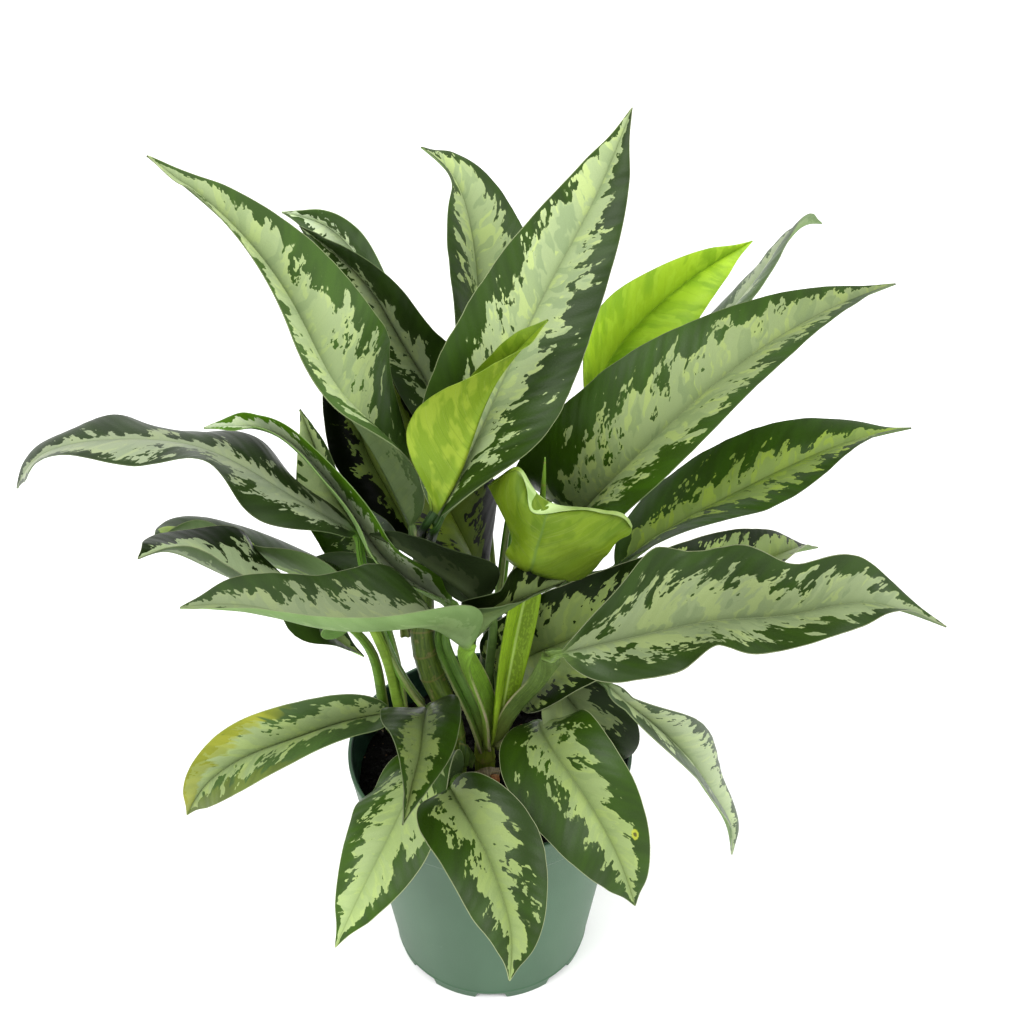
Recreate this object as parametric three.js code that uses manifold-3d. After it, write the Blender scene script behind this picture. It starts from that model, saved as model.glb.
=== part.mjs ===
// Potted chinese evergreen (Aglaonema with silver-centred leaves) in a plain round nursery pot.
// Millimetres, +Z up. Origin: the middle of the pot's flat foot pad, on the surface the pot stands on.
// -Y is the front, +X is the right-hand side seen from the front.
import * as THREE from "three";
import { mergeVertices } from "three/addons/utils/BufferGeometryUtils.js";
import Module from "manifold-3d";

// ---- driving dimensions -------------------------------------------------
const POT_HEIGHT = 143.8; // foot to top of rim
const RIM_RADIUS = 76; // outside of the rim, a 6 inch pot
const FOOT_RADIUS = 53.7; // outside of the foot ring
const WALL = 1.6;
const RIM_BAND = 19; // height of the slightly thicker band under the rim
const RIM_STEP = 0.5; // how far that band stands out
const FLOOR_UNDER = 4; // underside of the pot's floor
const FLOOR_TOP = 6;
const PAD_RADIUS = 13; // flat pad in the middle of the underside, level with the foot ring
const FOOT_WALL = 2.3;
const NOTCHES = 8; // drainage notches round the foot ring
const NOTCH_WIDTH = 18;
const NOTCH_HEIGHT = 3.5;
const DRAIN_HOLES = 8;
const DRAIN_RADIUS = 3.5;
const DRAIN_CIRCLE = 38;
const POT_SEGMENTS = 48;
const SOIL_TOP = 125;
const SOIL_SEGMENTS = 40;
const GAP = 0.35; // between touching pieces
const PETIOLE_HALF_WIDTH = 2.2; // where a petiole meets its blade
const BLADE_THICK = [3.2, 1.5, 0.8]; // midrib thickness at the blade's base, middle and tip
const BLADE_STATIONS = [0, 0.04, 0.1, 0.18, 0.28, 0.39, 0.5, 0.61, 0.72, 0.82, 0.9, 0.96, 1];
const UPPER_SHARE = 0.3; // part of the thickness that lies above the midrib's line
const PETIOLE_STATIONS = 5;
const SECTION = [-1, -0.55, 0, 0.55, 1]; // positions across a blade, edge to edge
const NET_SECTION = [-1, -0.78, -0.55, -0.38, -0.22, 0, 0.25, 0.5, 0.75, 1]; // the same for a blade laid over a net
const STEM_SIDES = 10;

// ---- leaves ---------------------------------------------------------------
// Each leaf is a blade swept along its midrib. mid holds the control points of
// the midrib's spline, ref the direction that the upper face looks towards,
// roll turns the blade about its midrib (radians, four values base to tip),
// foldL and foldR raise its two halves, wideL and wideR scale the two
// half-widths against the usual outline, curl bends each half across, wave is
// [waves, height, phase, height, phase] of the two margins, petiole holds
// the stalk's points from the stem to the blade, stalk its half-widths, and
// face where a channelled stalk opens to at its foot. A blade that is folded
// over has a net instead: rows of control points from the foot to the rolled
// far edge, each row from the left margin to the right one.
const LEAVES = [
  { name: "leaf_17_front_small", width: 42,
    ref: [0.0, -0.6, 0.8], mid: [[-31.9, -13.4, 183.6], [-31.4, -32.2, 197.9], [-31.8, -53.6, 207.7], [-31.7, -76.4, 213.4], [-34.8, -99.0, 217.2], [-37.5, -123.4, 215.8]],
    roll: [0.188, 0.118, -0.16, -0.467], foldL: [0.423, 0.45, 0.457, 0.728], foldR: [0.339, 0.391, 0.517, 0.978],
    wideL: [1.008, 1.01, 1.016, 0.998, 0.96], wideR: [1.036, 1.066, 1.063, 1.025, 1.001], curl: [0.303, 0.211], wave: [2.5, 0.0, 0.0, -0.0, -0.0],
    petiole: [[-23.2, -13.0, 187.2], [-27.1, -16.0, 190.7]], stalk: [3.2, 2.4] },
  { name: "leaf_15_front_centre", width: 58,
    ref: [0.0, -0.6, 0.8], mid: [[-17.9, -65.6, 178.9], [-11.6, -85.2, 184.0], [-1.3, -103.4, 179.0], [6.7, -120.5, 167.7], [12.6, -135.3, 153.3], [10.5, -150.8, 140.1]],
    roll: [0.247, -0.341, -0.347, -0.488], foldL: [0.744, 0.5, 0.331, 0.289], foldR: [0.478, 0.471, 0.303, 0.36],
    wideL: [0.961, 0.923, 0.964, 0.988, 1.009], wideR: [1.045, 1.033, 0.999, 1.026, 0.994], curl: [0.423, 0.26], wave: [2.5, 0.86, 1.01, -1.66, -9.33],
    petiole: [[-13.5, -17.0, 133.0], [-12.0, -36.0, 158.0]], stalk: [2.8, 2.6] },
  { name: "leaf_14_front_right", width: 60,
    ref: [0.0, -0.6, 0.8], mid: [[25.5, -20.9, 180.5], [29.0, -44.0, 190.2], [40.9, -65.9, 187.7], [55.3, -82.9, 173.8], [66.5, -93.2, 152.6], [72.7, -95.9, 128.0]],
    roll: [-0.154, 0.2, -0.002, 0.099], foldL: [0.166, 0.503, 0.358, 0.344], foldR: [0.215, 0.329, 0.277, 0.236],
    wideL: [0.987, 0.965, 0.963, 0.984, 0.998], wideR: [1.033, 1.044, 1.011, 1.062, 1.046], curl: [0.401, 0.213], wave: [2.5, 0.92, -1.34, 0.53, -2.02],
    petiole: [[4.8, -7.0, 151.3], [10.7, -14.0, 163.3], [17.9, -18.0, 175.0]], stalk: [3.0, 2.8] },
  { name: "leaf_16_front_left", width: 58,
    ref: [0.0, -0.6, 0.8], mid: [[-30.6, -18.9, 140.5], [-34.5, -33.1, 161.7], [-40.9, -57.0, 162.9], [-51.5, -78.9, 152.4], [-63.8, -97.0, 136.3], [-75.2, -112.8, 117.0]],
    roll: [0.776, 0.812, 0.258, 0.241], foldL: [0.297, 0.278, 0.022, 0.024], foldR: [0.072, 0.028, -0.011, -0.041],
    wideL: [0.997, 0.996, 1.028, 1.055, 1.033], wideR: [1.005, 0.988, 0.98, 0.952, 0.956], curl: [0.242, 0.392], wave: [2.5, 0.62, -3.62, 0.85, 0.83],
    petiole: [[-20.0, -17.0, 142.9], [-24.5, -20.0, 147.4]], stalk: [3.0, 2.6] },
  { name: "leaf_18_low_left_yellowing", width: 52,
    ref: [0.0, -0.6, 0.8], mid: [[-53.6, 0.5, 167.8], [-75.4, -13.8, 175.6], [-99.3, -26.9, 175.1], [-125.4, -33.0, 170.0], [-147.1, -38.4, 154.8], [-158.0, -37.6, 130.6]],
    roll: [-0.218, 0.054, -0.114, -0.315], foldL: [0.904, 1.187, 0.584, 0.49], foldR: [1.003, 1.113, 0.637, 0.629],
    wideL: [1.007, 0.99, 1.008, 1.013, 1.006], wideR: [0.984, 0.949, 0.998, 0.995, 1.009], curl: [0.286, 0.34], wave: [2.5, -0.0, 0.01, 0.0, -0.06],
    petiole: [[-48.0, 9.0, 144.0], [-50.0, 6.0, 154.0]], stalk: [3.0, 2.4] },
  { name: "leaf_19_left_folded", width: 62,
    ref: [0.0, -0.1, 0.995], mid: [[-10.2, -36.9, 247.4], [-23.9, -49.6, 274.8], [-47.5, -64.1, 282.2], [-77.2, -69.5, 287.7], [-106.8, -65.4, 299.1], [-137.4, -68.8, 297.8]],
    roll: [0.291, -0.202, 0.144, -0.605], foldL: [0.947, 1.02, 0.885, 0.97], foldR: [0.007, 0.327, -0.013, 0.427],
    wideL: [1.002, 0.996, 0.997, 1.001, 1.001], wideR: [1.108, 1.155, 1.003, 1.028, 1.058], curl: [-0.573, 0.111], wave: [2.5, -0.0, 0.33, -0.01, -0.58],
    petiole: [[-1.0, -8.0, 152.3], [-1.7, -12.0, 179.2], [-8.0, -19.0, 205.9], [-14.4, -26.0, 230.2], [-12.6, -29.0, 242.6]], stalk: [4.6, 8.2, 9.6, 8.0, 7.0, 4.4], face: [0.75, -0.4, 0.3] },
  { name: "leaf_10_broad_right", width: 70,
    ref: [0.0, -0.6, 0.8], mid: [[35.5, -45.8, 250.8], [73.5, -33.8, 250.3], [110.8, -26.9, 256.5], [146.5, -35.5, 262.7], [181.0, -24.6, 269.8], [221.2, -30.5, 253.8]],
    roll: [0.097, -0.586, 0.13, -1.239], foldL: [1.079, 0.887, 1.135, 0.381], foldR: [-0.048, 0.721, 0.63, 0.276],
    wideL: [1.109, 1.261, 1.065, 1.083, 1.068], wideR: [1.076, 1.02, 0.98, 1.064, 1.042], curl: [0.13, 0.21], wave: [4.0, 6.0, 1.5, -4.93, 1.26],
    petiole: [[4.3, -6.0, 151.1], [12.2, -13.0, 180.9], [23.7, -25.0, 207.3], [31.3, -33.0, 226.6]], stalk: [4.6, 7.2, 8.4, 7.0, 4.6], face: [-0.1, 0.3, 1] },
  { name: "leaf_13_low_right_hanging", width: 46,
    ref: [0.0, -0.6, 0.8], mid: [[59.7, -23.5, 209.3], [84.6, -17.3, 176.0], [104.6, -6.9, 142.7], [119.4, 2.3, 106.3], [135.8, 13.0, 70.5], [140.5, 23.5, 32.3]],
    roll: [0.193, -0.365, -0.794, -0.432], foldL: [1.42, 0.639, 0.192, 0.289], foldR: [1.088, 0.756, 0.519, 0.437],
    wideL: [0.914, 0.875, 0.879, 0.925, 0.972], wideR: [0.982, 0.993, 0.994, 0.994, 0.996], curl: [0.75, 0.326], wave: [2.5, 0.01, -0.15, 0.0, 0.0],
    petiole: [[2.0, 45.0, 133.0], [30.0, 38.0, 158.0], [48.0, 10.0, 190.0]], stalk: [3.0, 2.4] },
  { name: "leaf_27_lime_folded", width: 68,
    ref: [0.0, -1.0, 0.2], mid: [[20.0, -7.0, 268.6], [21.1, -28.5, 287.1], [22.9, -23.1, 294.7], [25.4, -23.0, 303.4], [27.2, -19.9, 310.9], [28.5, -17.4, 313.7], [32.9, -9.7, 314.6], [22.7, -19.0, 313.2]],
    roll: [0.0, 0.0, 0.0, 0.0], foldL: [-0.108, -0.154, 0.225, 0.22], foldR: [-0.044, -0.202, 0.011, 0.384],
    wideL: [1.093, 1.042, 1.157, 1.09, 1.045], wideR: [1.023, 1.008, 1.007, 1.08, 1.087], curl: [0.108, 0.135], wave: [2.5, 0.0, 0.02, -0.0, -0.02],
    petiole: [[2.1, -3.0, 148.2], [6.0, -12.0, 186.3], [10.2, -12.0, 219.1], [14.2, -1.0, 238.1]], stalk: [4.8, 7.8, 10.0, 11.0, 8.6], face: [0.45, -0.75, 0.45],
    net: [[[18.0, -6.0, 268.4], [18.5, -5.9, 268.4], [19.0, -6.5, 268.5], [19.5, -7.1, 268.6], [20.0, -6.9, 268.6], [20.5, -7.1, 268.7], [21.0, -6.5, 268.2], [21.5, -5.9, 267.7], [22.0, -6.0, 267.8]],
      [[5.8, -15.7, 285.0], [9.5, -19.9, 284.8], [13.1, -24.1, 285.7], [16.0, -25.0, 284.3], [20.8, -30.5, 289.8], [27.1, -23.8, 279.0], [32.5, -17.1, 271.0], [39.6, -10.9, 262.8], [46.1, -4.2, 256.5]],
      [[11.7, -15.2, 291.9], [13.7, -16.1, 291.3], [16.3, -19.4, 293.9], [20.1, -22.4, 295.9], [21.5, -23.0, 294.8], [30.9, -24.6, 293.0], [39.3, -20.7, 287.8], [49.0, -16.6, 283.9], [55.2, -13.4, 282.9]],
      [[11.9, -13.5, 296.1], [14.2, -16.0, 298.8], [16.6, -19.1, 301.2], [20.0, -21.6, 302.3], [24.8, -22.6, 304.0], [33.4, -25.8, 302.4], [41.7, -26.4, 300.0], [49.2, -24.6, 296.4], [57.6, -20.4, 289.4]],
      [[8.0, -9.0, 302.9], [10.9, -11.8, 305.7], [14.7, -15.7, 308.4], [20.0, -19.0, 311.6], [27.1, -19.6, 311.1], [34.8, -22.1, 309.8], [44.5, -22.4, 306.1], [53.8, -21.7, 301.6], [61.1, -18.9, 298.3]],
      [[3.6, -4.7, 310.6], [5.8, -7.8, 313.5], [10.9, -11.3, 318.5], [14.5, -15.9, 319.9], [29.4, -17.0, 312.2], [38.8, -20.2, 313.2], [50.2, -20.0, 310.3], [61.0, -19.6, 304.6], [68.7, -17.9, 299.1]],
      [[-0.5, 0.7, 316.9], [6.9, -1.5, 324.0], [15.7, -4.4, 336.3], [23.1, -7.2, 320.1], [32.7, -9.0, 313.1], [43.8, -14.8, 314.9], [55.7, -15.0, 313.1], [66.1, -15.4, 312.9], [68.4, -14.4, 303.3]],
      [[0.4, -1.2, 315.8], [6.8, -3.7, 322.1], [15.0, -6.2, 332.8], [20.1, -13.5, 320.7], [18.2, -20.9, 310.5], [42.9, -16.9, 316.2], [53.8, -19.5, 313.1], [63.9, -19.3, 312.3], [67.7, -17.5, 303.5]]] },
  { name: "leaf_29_small_centre", width: 44,
    ref: [0.0, 0.196, 0.981], mid: [[-5.0, -23.6, 244.9], [0.9, -24.1, 253.6], [9.3, -20.4, 257.6], [18.3, -16.3, 260.8], [28.1, -14.1, 263.8], [37.9, -11.6, 267.2]],
    roll: [-0.177, 0.828, 0.404, 0.438], foldL: [1.647, 1.776, 1.007, 0.968], foldR: [1.654, 1.339, 0.91, 0.835],
    wideL: [1.003, 1.005, 1.045, 1.047, 1.02], wideR: [1.106, 1.094, 1.039, 1.017, 1.009], curl: [-0.0, -0.0], wave: [2.5, 0.0, -0.02, 0.0, -0.07],
    petiole: [[-4.0, 5.0, 153.0], [-8.0, 5.0, 190.0], [-12.0, -4.0, 222.0]], stalk: [2.6, 2.2] },
  { name: "leaf_26_lime_rolled", width: 60,
    ref: [-0.83, 0.207, 0.518], mid: [[-25.2, -13.4, 310.0], [-14.0, 0.1, 322.4], [-7.4, 11.7, 339.8], [1.1, 21.0, 357.6], [13.4, 24.5, 374.9], [28.1, 25.2, 391.5]],
    roll: [0.14, -0.018, 0.75, 0.735], foldL: [1.314, 1.314, 1.311, 1.31], foldR: [1.268, 1.355, 1.037, 1.054],
    wideL: [0.55, 0.42, 0.42, 0.5, 0.75], wideR: [1.06, 1.1, 1.1, 1.06, 1.02], curl: [-0.097, -0.083], wave: [2.5, -0.0, 0.0, 0.0, -0.12],
    petiole: [[-33.0, 10.0, 272.0], [-32.5, 2.0, 288.0]], stalk: [3.0, 2.4] },
  { name: "leaf_28_shaded_centre", width: 52,
    ref: [0.104, 0.777, 0.621], mid: [[-2.9, -20.0, 257.9], [-11.0, -20.1, 268.5], [-21.5, -17.8, 276.1], [-32.7, -14.4, 283.0], [-44.2, -10.6, 288.7], [-56.6, -7.1, 292.2]],
    roll: [0.368, -0.05, -0.014, 0.187], foldL: [0.493, 0.273, 0.141, 0.331], foldR: [0.34, 0.314, 0.161, 0.251],
    wideL: [1.031, 1.034, 1.0, 1.002, 1.01], wideR: [1.001, 0.998, 0.997, 0.997, 0.998], curl: [0.257, 0.306], wave: [2.5, -0.0, 0.07, -0.0, -0.03],
    petiole: [[-2.0, 5.0, 153.0], [-1.0, 4.0, 190.0], [3.0, -5.0, 232.0]], stalk: [2.6, 2.2] },
  { name: "leaf_23_left_edge_on", width: 52,
    ref: [0.286, -0.095, 0.953], mid: [[-19.6, 6.7, 237.6], [-48.4, 5.0, 258.4], [-64.4, 10.6, 287.9], [-79.2, 8.2, 319.2], [-101.6, 15.7, 341.7], [-134.6, 16.0, 337.9]],
    roll: [-0.344, -0.803, -0.667, -0.358], foldL: [1.123, 1.189, 1.327, 1.106], foldR: [1.241, 1.545, 1.631, 1.219],
    wideL: [0.999, 0.999, 0.996, 0.995, 1.0], wideR: [1.03, 1.021, 1.02, 1.019, 1.016], curl: [-0.205, 0.079], wave: [2.5, -0.0, 0.02, 0.0, 0.09],
    petiole: [[-3.2, -6.0, 148.2], [-8.1, -9.0, 174.3], [-15.4, -11.0, 197.2], [-23.6, -9.0, 218.5], [-25.8, 0.0, 225.4]], stalk: [4.2, 5.0, 5.4, 4.8, 3.4], face: [0.3, -0.6, 0.4] },
  { name: "leaf_22_far_left_twisted", width: 62,
    ref: [0.0, -0.447, 0.894], mid: [[-65.5, 2.8, 285.7], [-94.5, -5.6, 313.9], [-128.3, -1.2, 340.6], [-166.7, -9.9, 350.2], [-206.4, -11.3, 345.8], [-223.5, -0.4, 314.3]],
    roll: [0.5, 0.66, 0.688, 0.092], foldL: [0.119, 0.113, 0.147, 0.186], foldR: [-0.022, -0.173, -0.128, 0.212],
    wideL: [1.032, 1.041, 1.014, 1.019, 1.015], wideR: [0.973, 0.972, 0.981, 0.978, 0.997], curl: [0.238, 0.365], wave: [3.0, 5.32, 0.02, 4.91, 2.13],
    petiole: [[-34.0, -6.0, 180.0], [-43.0, -10.0, 199.0], [-50.4, -13.0, 223.4], [-55.6, -11.0, 254.2], [-62.0, -3.0, 272.9]], stalk: [3.6, 4.6, 3.8, 3.2, 2.8] },
  { name: "leaf_20_left_narrow", width: 56,
    ref: [0.0, -0.1, 0.995], mid: [[-95.8, -12.7, 264.1], [-108.8, -23.8, 273.5], [-122.1, -28.8, 285.1], [-135.4, -32.6, 297.1], [-147.1, -38.7, 309.8], [-156.8, -53.3, 313.7]],
    roll: [0.032, -0.137, 0.249, -0.087], foldL: [0.898, 0.727, 0.547, 0.636], foldR: [0.357, 0.276, -0.146, 0.142],
    wideL: [0.998, 0.996, 0.992, 0.989, 0.992], wideR: [1.011, 1.037, 1.029, 0.974, 0.997], curl: [-0.321, 0.178], wave: [2.5, 0.0, -0.0, 0.01, 0.67],
    petiole: [[-53.0, 11.0, 146.0], [-57.0, 4.0, 165.0], [-56.2, -6.0, 215.9], [-69.0, -9.0, 237.0], [-83.7, -11.0, 252.3]], stalk: [3.0, 2.6, 2.4] },
  { name: "leaf_21_left_narrow_behind", width: 54,
    ref: [0.0, -0.1, 0.995], mid: [[-68.3, -15.9, 265.5], [-88.1, -0.5, 260.3], [-110.0, 12.7, 259.6], [-133.0, 18.9, 268.7], [-152.8, 13.3, 281.1], [-161.4, -9.1, 286.8]],
    roll: [0.725, 0.459, 0.387, 0.207], foldL: [0.99, 0.529, 0.624, 0.771], foldR: [0.327, -0.012, 0.103, 0.348],
    wideL: [0.99, 0.948, 0.941, 0.974, 0.987], wideR: [0.95, 0.919, 0.919, 0.975, 0.988], curl: [-0.413, 0.389], wave: [2.5, -0.0, 0.01, -0.01, 0.45],
    petiole: [[-44.0, 7.0, 146.0], [-48.0, 0.0, 170.0], [-49.4, -16.0, 219.3], [-57.4, -20.0, 245.8]], stalk: [3.2, 2.8, 2.4] },
  { name: "leaf_31_left_under", width: 46,
    ref: [0.0, -0.301, 0.954], mid: [[-42.4, 4.2, 241.9], [-63.4, 9.4, 244.2], [-82.3, 14.2, 238.3], [-90.7, 16.9, 221.8], [-83.3, 17.8, 203.5], [-66.3, 19.3, 190.6]],
    roll: [-0.216, -0.299, -0.272, -0.334], foldL: [0.436, 0.436, 0.436, 0.436], foldR: [0.51, 0.552, 0.53, 0.56],
    wideL: [1.0, 1.0, 1.0, 1.0, 1.0], wideR: [0.986, 0.972, 0.94, 0.952, 0.975], curl: [0.3, 0.458], wave: [2.5, -0.0, -0.0, -0.0, -0.0],
    petiole: [[-43.0, 6.0, 216.0], [-43.5, 8.0, 228.0]], stalk: [2.6, 2.4] },
  { name: "leaf_11_right_behind", width: 68,
    ref: [0.0, -0.6, 0.8], mid: [[4.9, 44.3, 157.5], [19.5, 14.1, 195.2], [53.2, -3.6, 229.1], [100.7, -3.0, 251.5], [144.2, 24.0, 255.1], [174.5, 59.6, 232.2]],
    roll: [0.773, 0.096, -0.049, -0.801], foldL: [0.622, 0.761, 0.733, 0.601], foldR: [0.309, 0.755, 0.774, 0.946],
    wideL: [1.003, 0.994, 0.932, 1.026, 1.015], wideR: [1.096, 1.099, 1.016, 1.039, 1.029], curl: [0.307, 0.185], wave: [2.5, -0.0, 0.09, 0.0, -0.0],
    petiole: [[5.0, 47.0, 136.0], [5.0, 46.0, 146.0]], stalk: [3.4, 2.6] },
  { name: "leaf_12_low_right_behind", width: 56,
    ref: [0.0, -0.6, 0.8], mid: [[30.9, -2.4, 197.4], [41.3, -9.2, 186.0], [50.6, -14.8, 174.7], [53.9, -18.6, 161.3], [55.2, -19.7, 147.7], [58.4, -20.2, 134.3]],
    roll: [0.15, 0.17, -0.204, -0.515], foldL: [0.756, 0.667, 0.422, 0.261], foldR: [0.681, 0.573, 0.497, 0.47],
    wideL: [0.974, 0.995, 1.041, 1.047, 1.02], wideR: [0.966, 0.98, 0.992, 0.997, 0.998], curl: [0.252, 0.338], wave: [2.5, 0.0, -0.03, 0.0, 0.0],
    petiole: [[3.0, 3.0, 149.0], [14.0, 5.0, 168.0], [24.0, 3.0, 186.0]], stalk: [2.8, 2.4] },
  { name: "leaf_01_tall_centre", width: 70,
    ref: [0.0, -0.6, 0.8], mid: [[-22.1, -13.2, 307.2], [-5.8, 19.5, 326.8], [10.8, 42.3, 357.1], [30.0, 59.6, 393.1], [52.3, 76.8, 427.2], [67.7, 92.8, 465.8]],
    roll: [-0.405, 0.247, 0.178, 0.035], foldL: [0.424, 0.511, 0.439, 0.399], foldR: [0.589, 0.401, 0.367, 0.394],
    wideL: [1.036, 1.043, 0.999, 1.029, 1.014], wideR: [1.024, 1.046, 0.917, 1.018, 0.995], curl: [0.205, 0.282], wave: [2.5, -0.0, 0.0, 0.0, 0.0],
    petiole: [[-30.0, 12.0, 270.0], [-27.0, 0.0, 287.0]], stalk: [3.2, 2.6] },
  { name: "leaf_02_tall_left", width: 66,
    ref: [0.0, -0.6, 0.8], mid: [[-38.5, 20.6, 277.9], [-53.5, 24.2, 320.1], [-73.4, 16.6, 359.3], [-85.1, 17.9, 403.4], [-108.2, 17.4, 443.1], [-145.6, 24.6, 473.3]],
    roll: [0.985, 0.32, -0.247, -0.013], foldL: [1.398, 1.132, 1.265, 1.443], foldR: [-0.013, -0.023, 0.387, 0.437],
    wideL: [1.004, 0.988, 1.005, 0.997, 1.006], wideR: [0.966, 0.992, 1.076, 1.022, 0.983], curl: [0.308, 0.27], wave: [2.5, -0.0, -0.01, 0.0, 0.12],
    petiole: [[-36.0, 16.0, 270.0], [-37.5, 18.0, 274.0]], stalk: [3.2, 2.6] },
  { name: "leaf_24_left_upright", width: 56,
    ref: [0.0, -0.6, 0.8], mid: [[-62.2, 47.1, 225.0], [-66.0, 45.8, 246.7], [-72.2, 41.2, 267.6], [-79.8, 36.0, 288.3], [-84.4, 35.8, 310.9], [-91.6, 39.3, 332.8]],
    roll: [-0.169, -0.235, -0.468, -0.165], foldL: [0.571, 0.674, 0.745, 0.63], foldR: [0.614, 0.748, 0.959, 0.683],
    wideL: [0.932, 0.903, 0.914, 0.925, 0.963], wideR: [0.999, 0.998, 0.993, 0.993, 1.006], curl: [0.75, 0.302], wave: [2.5, 0.0, -0.04, -0.0, -0.0],
    petiole: [[-47.0, 19.0, 150.0], [-50.0, 30.0, 178.0], [-58.0, 39.0, 206.0]], stalk: [2.8, 2.4] },
  { name: "leaf_08_big_right", width: 74,
    ref: [0.0, -0.6, 0.8], mid: [[43.9, 82.5, 222.3], [44.9, 39.7, 268.5], [73.4, 30.9, 311.6], [109.7, 39.0, 350.8], [155.0, 55.3, 377.0], [200.3, 82.8, 378.3]],
    roll: [0.189, -0.193, -0.344, -0.62], foldL: [0.934, 0.718, 0.294, 0.389], foldR: [0.807, 0.774, 0.419, 0.633],
    wideL: [1.5, 1.25, 1.12, 0.98, 0.99], wideR: [0.985, 0.974, 1.002, 1.015, 1.016], curl: [0.168, 0.303], wave: [2.5, 0.0, -0.04, -0.0, 0.29],
    petiole: [[9.0, 57.0, 188.0], [22.0, 66.0, 205.0]], stalk: [3.4, 2.6] },
  { name: "leaf_09_right", width: 62,
    ref: [0.0, -0.6, 0.8], mid: [[64.9, 16.1, 253.4], [91.6, 33.2, 265.3], [121.8, 44.2, 276.8], [151.8, 52.0, 290.0], [180.7, 56.1, 303.3], [212.8, 57.1, 310.3]],
    roll: [-0.767, -0.655, -0.236, -1.031], foldL: [0.334, 0.213, 0.302, 0.176], foldR: [0.597, 0.432, 0.333, 0.513],
    wideL: [0.996, 0.97, 0.966, 1.047, 1.01], wideR: [1.002, 1.007, 1.024, 1.016, 1.007], curl: [0.299, 0.268], wave: [2.5, -0.01, 0.03, 0.0, 0.03],
    petiole: [[9.0, 51.0, 196.0], [30.0, 38.0, 228.0]], stalk: [3.2, 2.6] },
  { name: "leaf_30_silver_centre", width: 58,
    ref: [0.0, -0.6, 0.8], mid: [[-4.0, 43.8, 216.1], [-11.6, 45.3, 242.8], [-21.2, 45.9, 268.3], [-29.9, 47.1, 293.7], [-39.0, 49.1, 319.1], [-48.4, 52.7, 344.9]],
    roll: [1.041, 0.684, -0.556, -0.78], foldL: [0.523, 0.544, 0.511, 0.5], foldR: [0.168, 0.333, 0.722, 0.804],
    wideL: [0.996, 0.993, 0.995, 0.998, 0.999], wideR: [0.981, 0.983, 0.991, 0.987, 0.986], curl: [0.322, 0.352], wave: [2.5, -0.0, -0.0, -0.0, -0.0],
    petiole: [[-7.0, 3.0, 153.0], [-11.0, 12.0, 180.0], [-9.0, 27.0, 200.0]], stalk: [3.0, 2.4] },
  { name: "leaf_25_shaded_upright", width: 60,
    ref: [0.0, -0.6, 0.8], mid: [[-40.5, 46.3, 249.9], [-51.3, 52.6, 271.9], [-62.8, 56.1, 293.8], [-67.0, 57.0, 317.4], [-70.8, 53.7, 341.0], [-68.5, 47.6, 364.4]],
    roll: [0.105, 0.414, 0.094, 0.091], foldL: [0.573, 0.783, 0.595, 0.514], foldR: [0.541, 0.587, 0.569, 0.492],
    wideL: [0.973, 0.955, 0.994, 0.998, 1.004], wideR: [1.001, 1.001, 1.002, 1.001, 0.999], curl: [0.353, 0.298], wave: [2.5, -0.0, -0.03, 0.0, -0.0],
    petiole: [[-36.0, 17.0, 225.0], [-37.0, 30.0, 236.0]], stalk: [3.2, 2.4] },
  { name: "leaf_04_back_left", width: 64,
    ref: [0.0, -0.6, 0.8], mid: [[-20.2, 67.9, 295.6], [-28.8, 77.6, 320.7], [-43.9, 82.1, 343.5], [-54.0, 84.9, 368.7], [-69.8, 84.1, 390.8], [-90.4, 82.4, 409.8]],
    roll: [-0.142, -0.097, -0.378, -0.613], foldL: [0.65, 0.933, 0.777, 0.627], foldR: [0.713, 0.971, 0.953, 0.911],
    wideL: [0.982, 0.946, 0.95, 0.98, 0.99], wideR: [1.014, 1.02, 0.991, 1.002, 0.993], curl: [0.432, 0.288], wave: [2.5, 0.0, 0.0, 0.0, -0.0],
    petiole: [[-2.0, 57.0, 200.0], [-9.0, 59.0, 245.0]], stalk: [3.2, 2.4] },
  { name: "leaf_03_back_left_outer", width: 56,
    ref: [0.0, -0.6, 0.8], mid: [[-31.2, 105.0, 317.7], [-44.6, 111.8, 336.2], [-57.1, 116.6, 355.9], [-67.5, 118.9, 377.0], [-81.9, 116.1, 395.3], [-102.0, 107.6, 404.4]],
    roll: [-0.55, -0.787, -0.745, -0.509], foldL: [0.456, 0.471, 0.513, 0.567], foldR: [0.631, 0.76, 0.787, 0.736],
    wideL: [0.999, 0.998, 0.996, 0.99, 0.984], wideR: [0.997, 0.995, 0.993, 0.984, 0.989], curl: [0.321, 0.329], wave: [2.5, 0.0, -0.0, 0.0, 0.01],
    petiole: [[-2.0, 61.0, 194.0], [-12.0, 74.0, 240.0]], stalk: [3.2, 2.4] },
  { name: "leaf_05_back_centre", width: 64,
    ref: [0.0, -0.6, 0.8], mid: [[-5.8, 79.4, 309.6], [-5.8, 88.9, 338.1], [-5.3, 97.7, 366.9], [-7.9, 106.9, 394.8], [-15.0, 117.5, 420.4], [-32.1, 109.4, 438.4]],
    roll: [0.613, 0.64, 0.534, 0.623], foldL: [0.637, 0.645, 0.38, 0.365], foldR: [0.429, 0.42, 0.207, 0.145],
    wideL: [0.982, 0.977, 0.986, 1.005, 1.007], wideR: [1.01, 1.02, 1.033, 0.956, 0.959], curl: [0.329, 0.306], wave: [2.5, 0.0, -0.04, 0.0, -0.09],
    petiole: [[1.0, 61.0, 202.0], [-2.0, 66.0, 250.0]], stalk: [3.2, 2.4] },
  { name: "leaf_06_lime_back_right", width: 60,
    ref: [0.0, -0.6, 0.8], mid: [[48.2, 51.0, 307.2], [53.2, 75.8, 321.2], [66.0, 95.5, 336.0], [85.8, 106.4, 352.5], [108.3, 112.0, 370.6], [133.1, 114.6, 384.9]],
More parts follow.
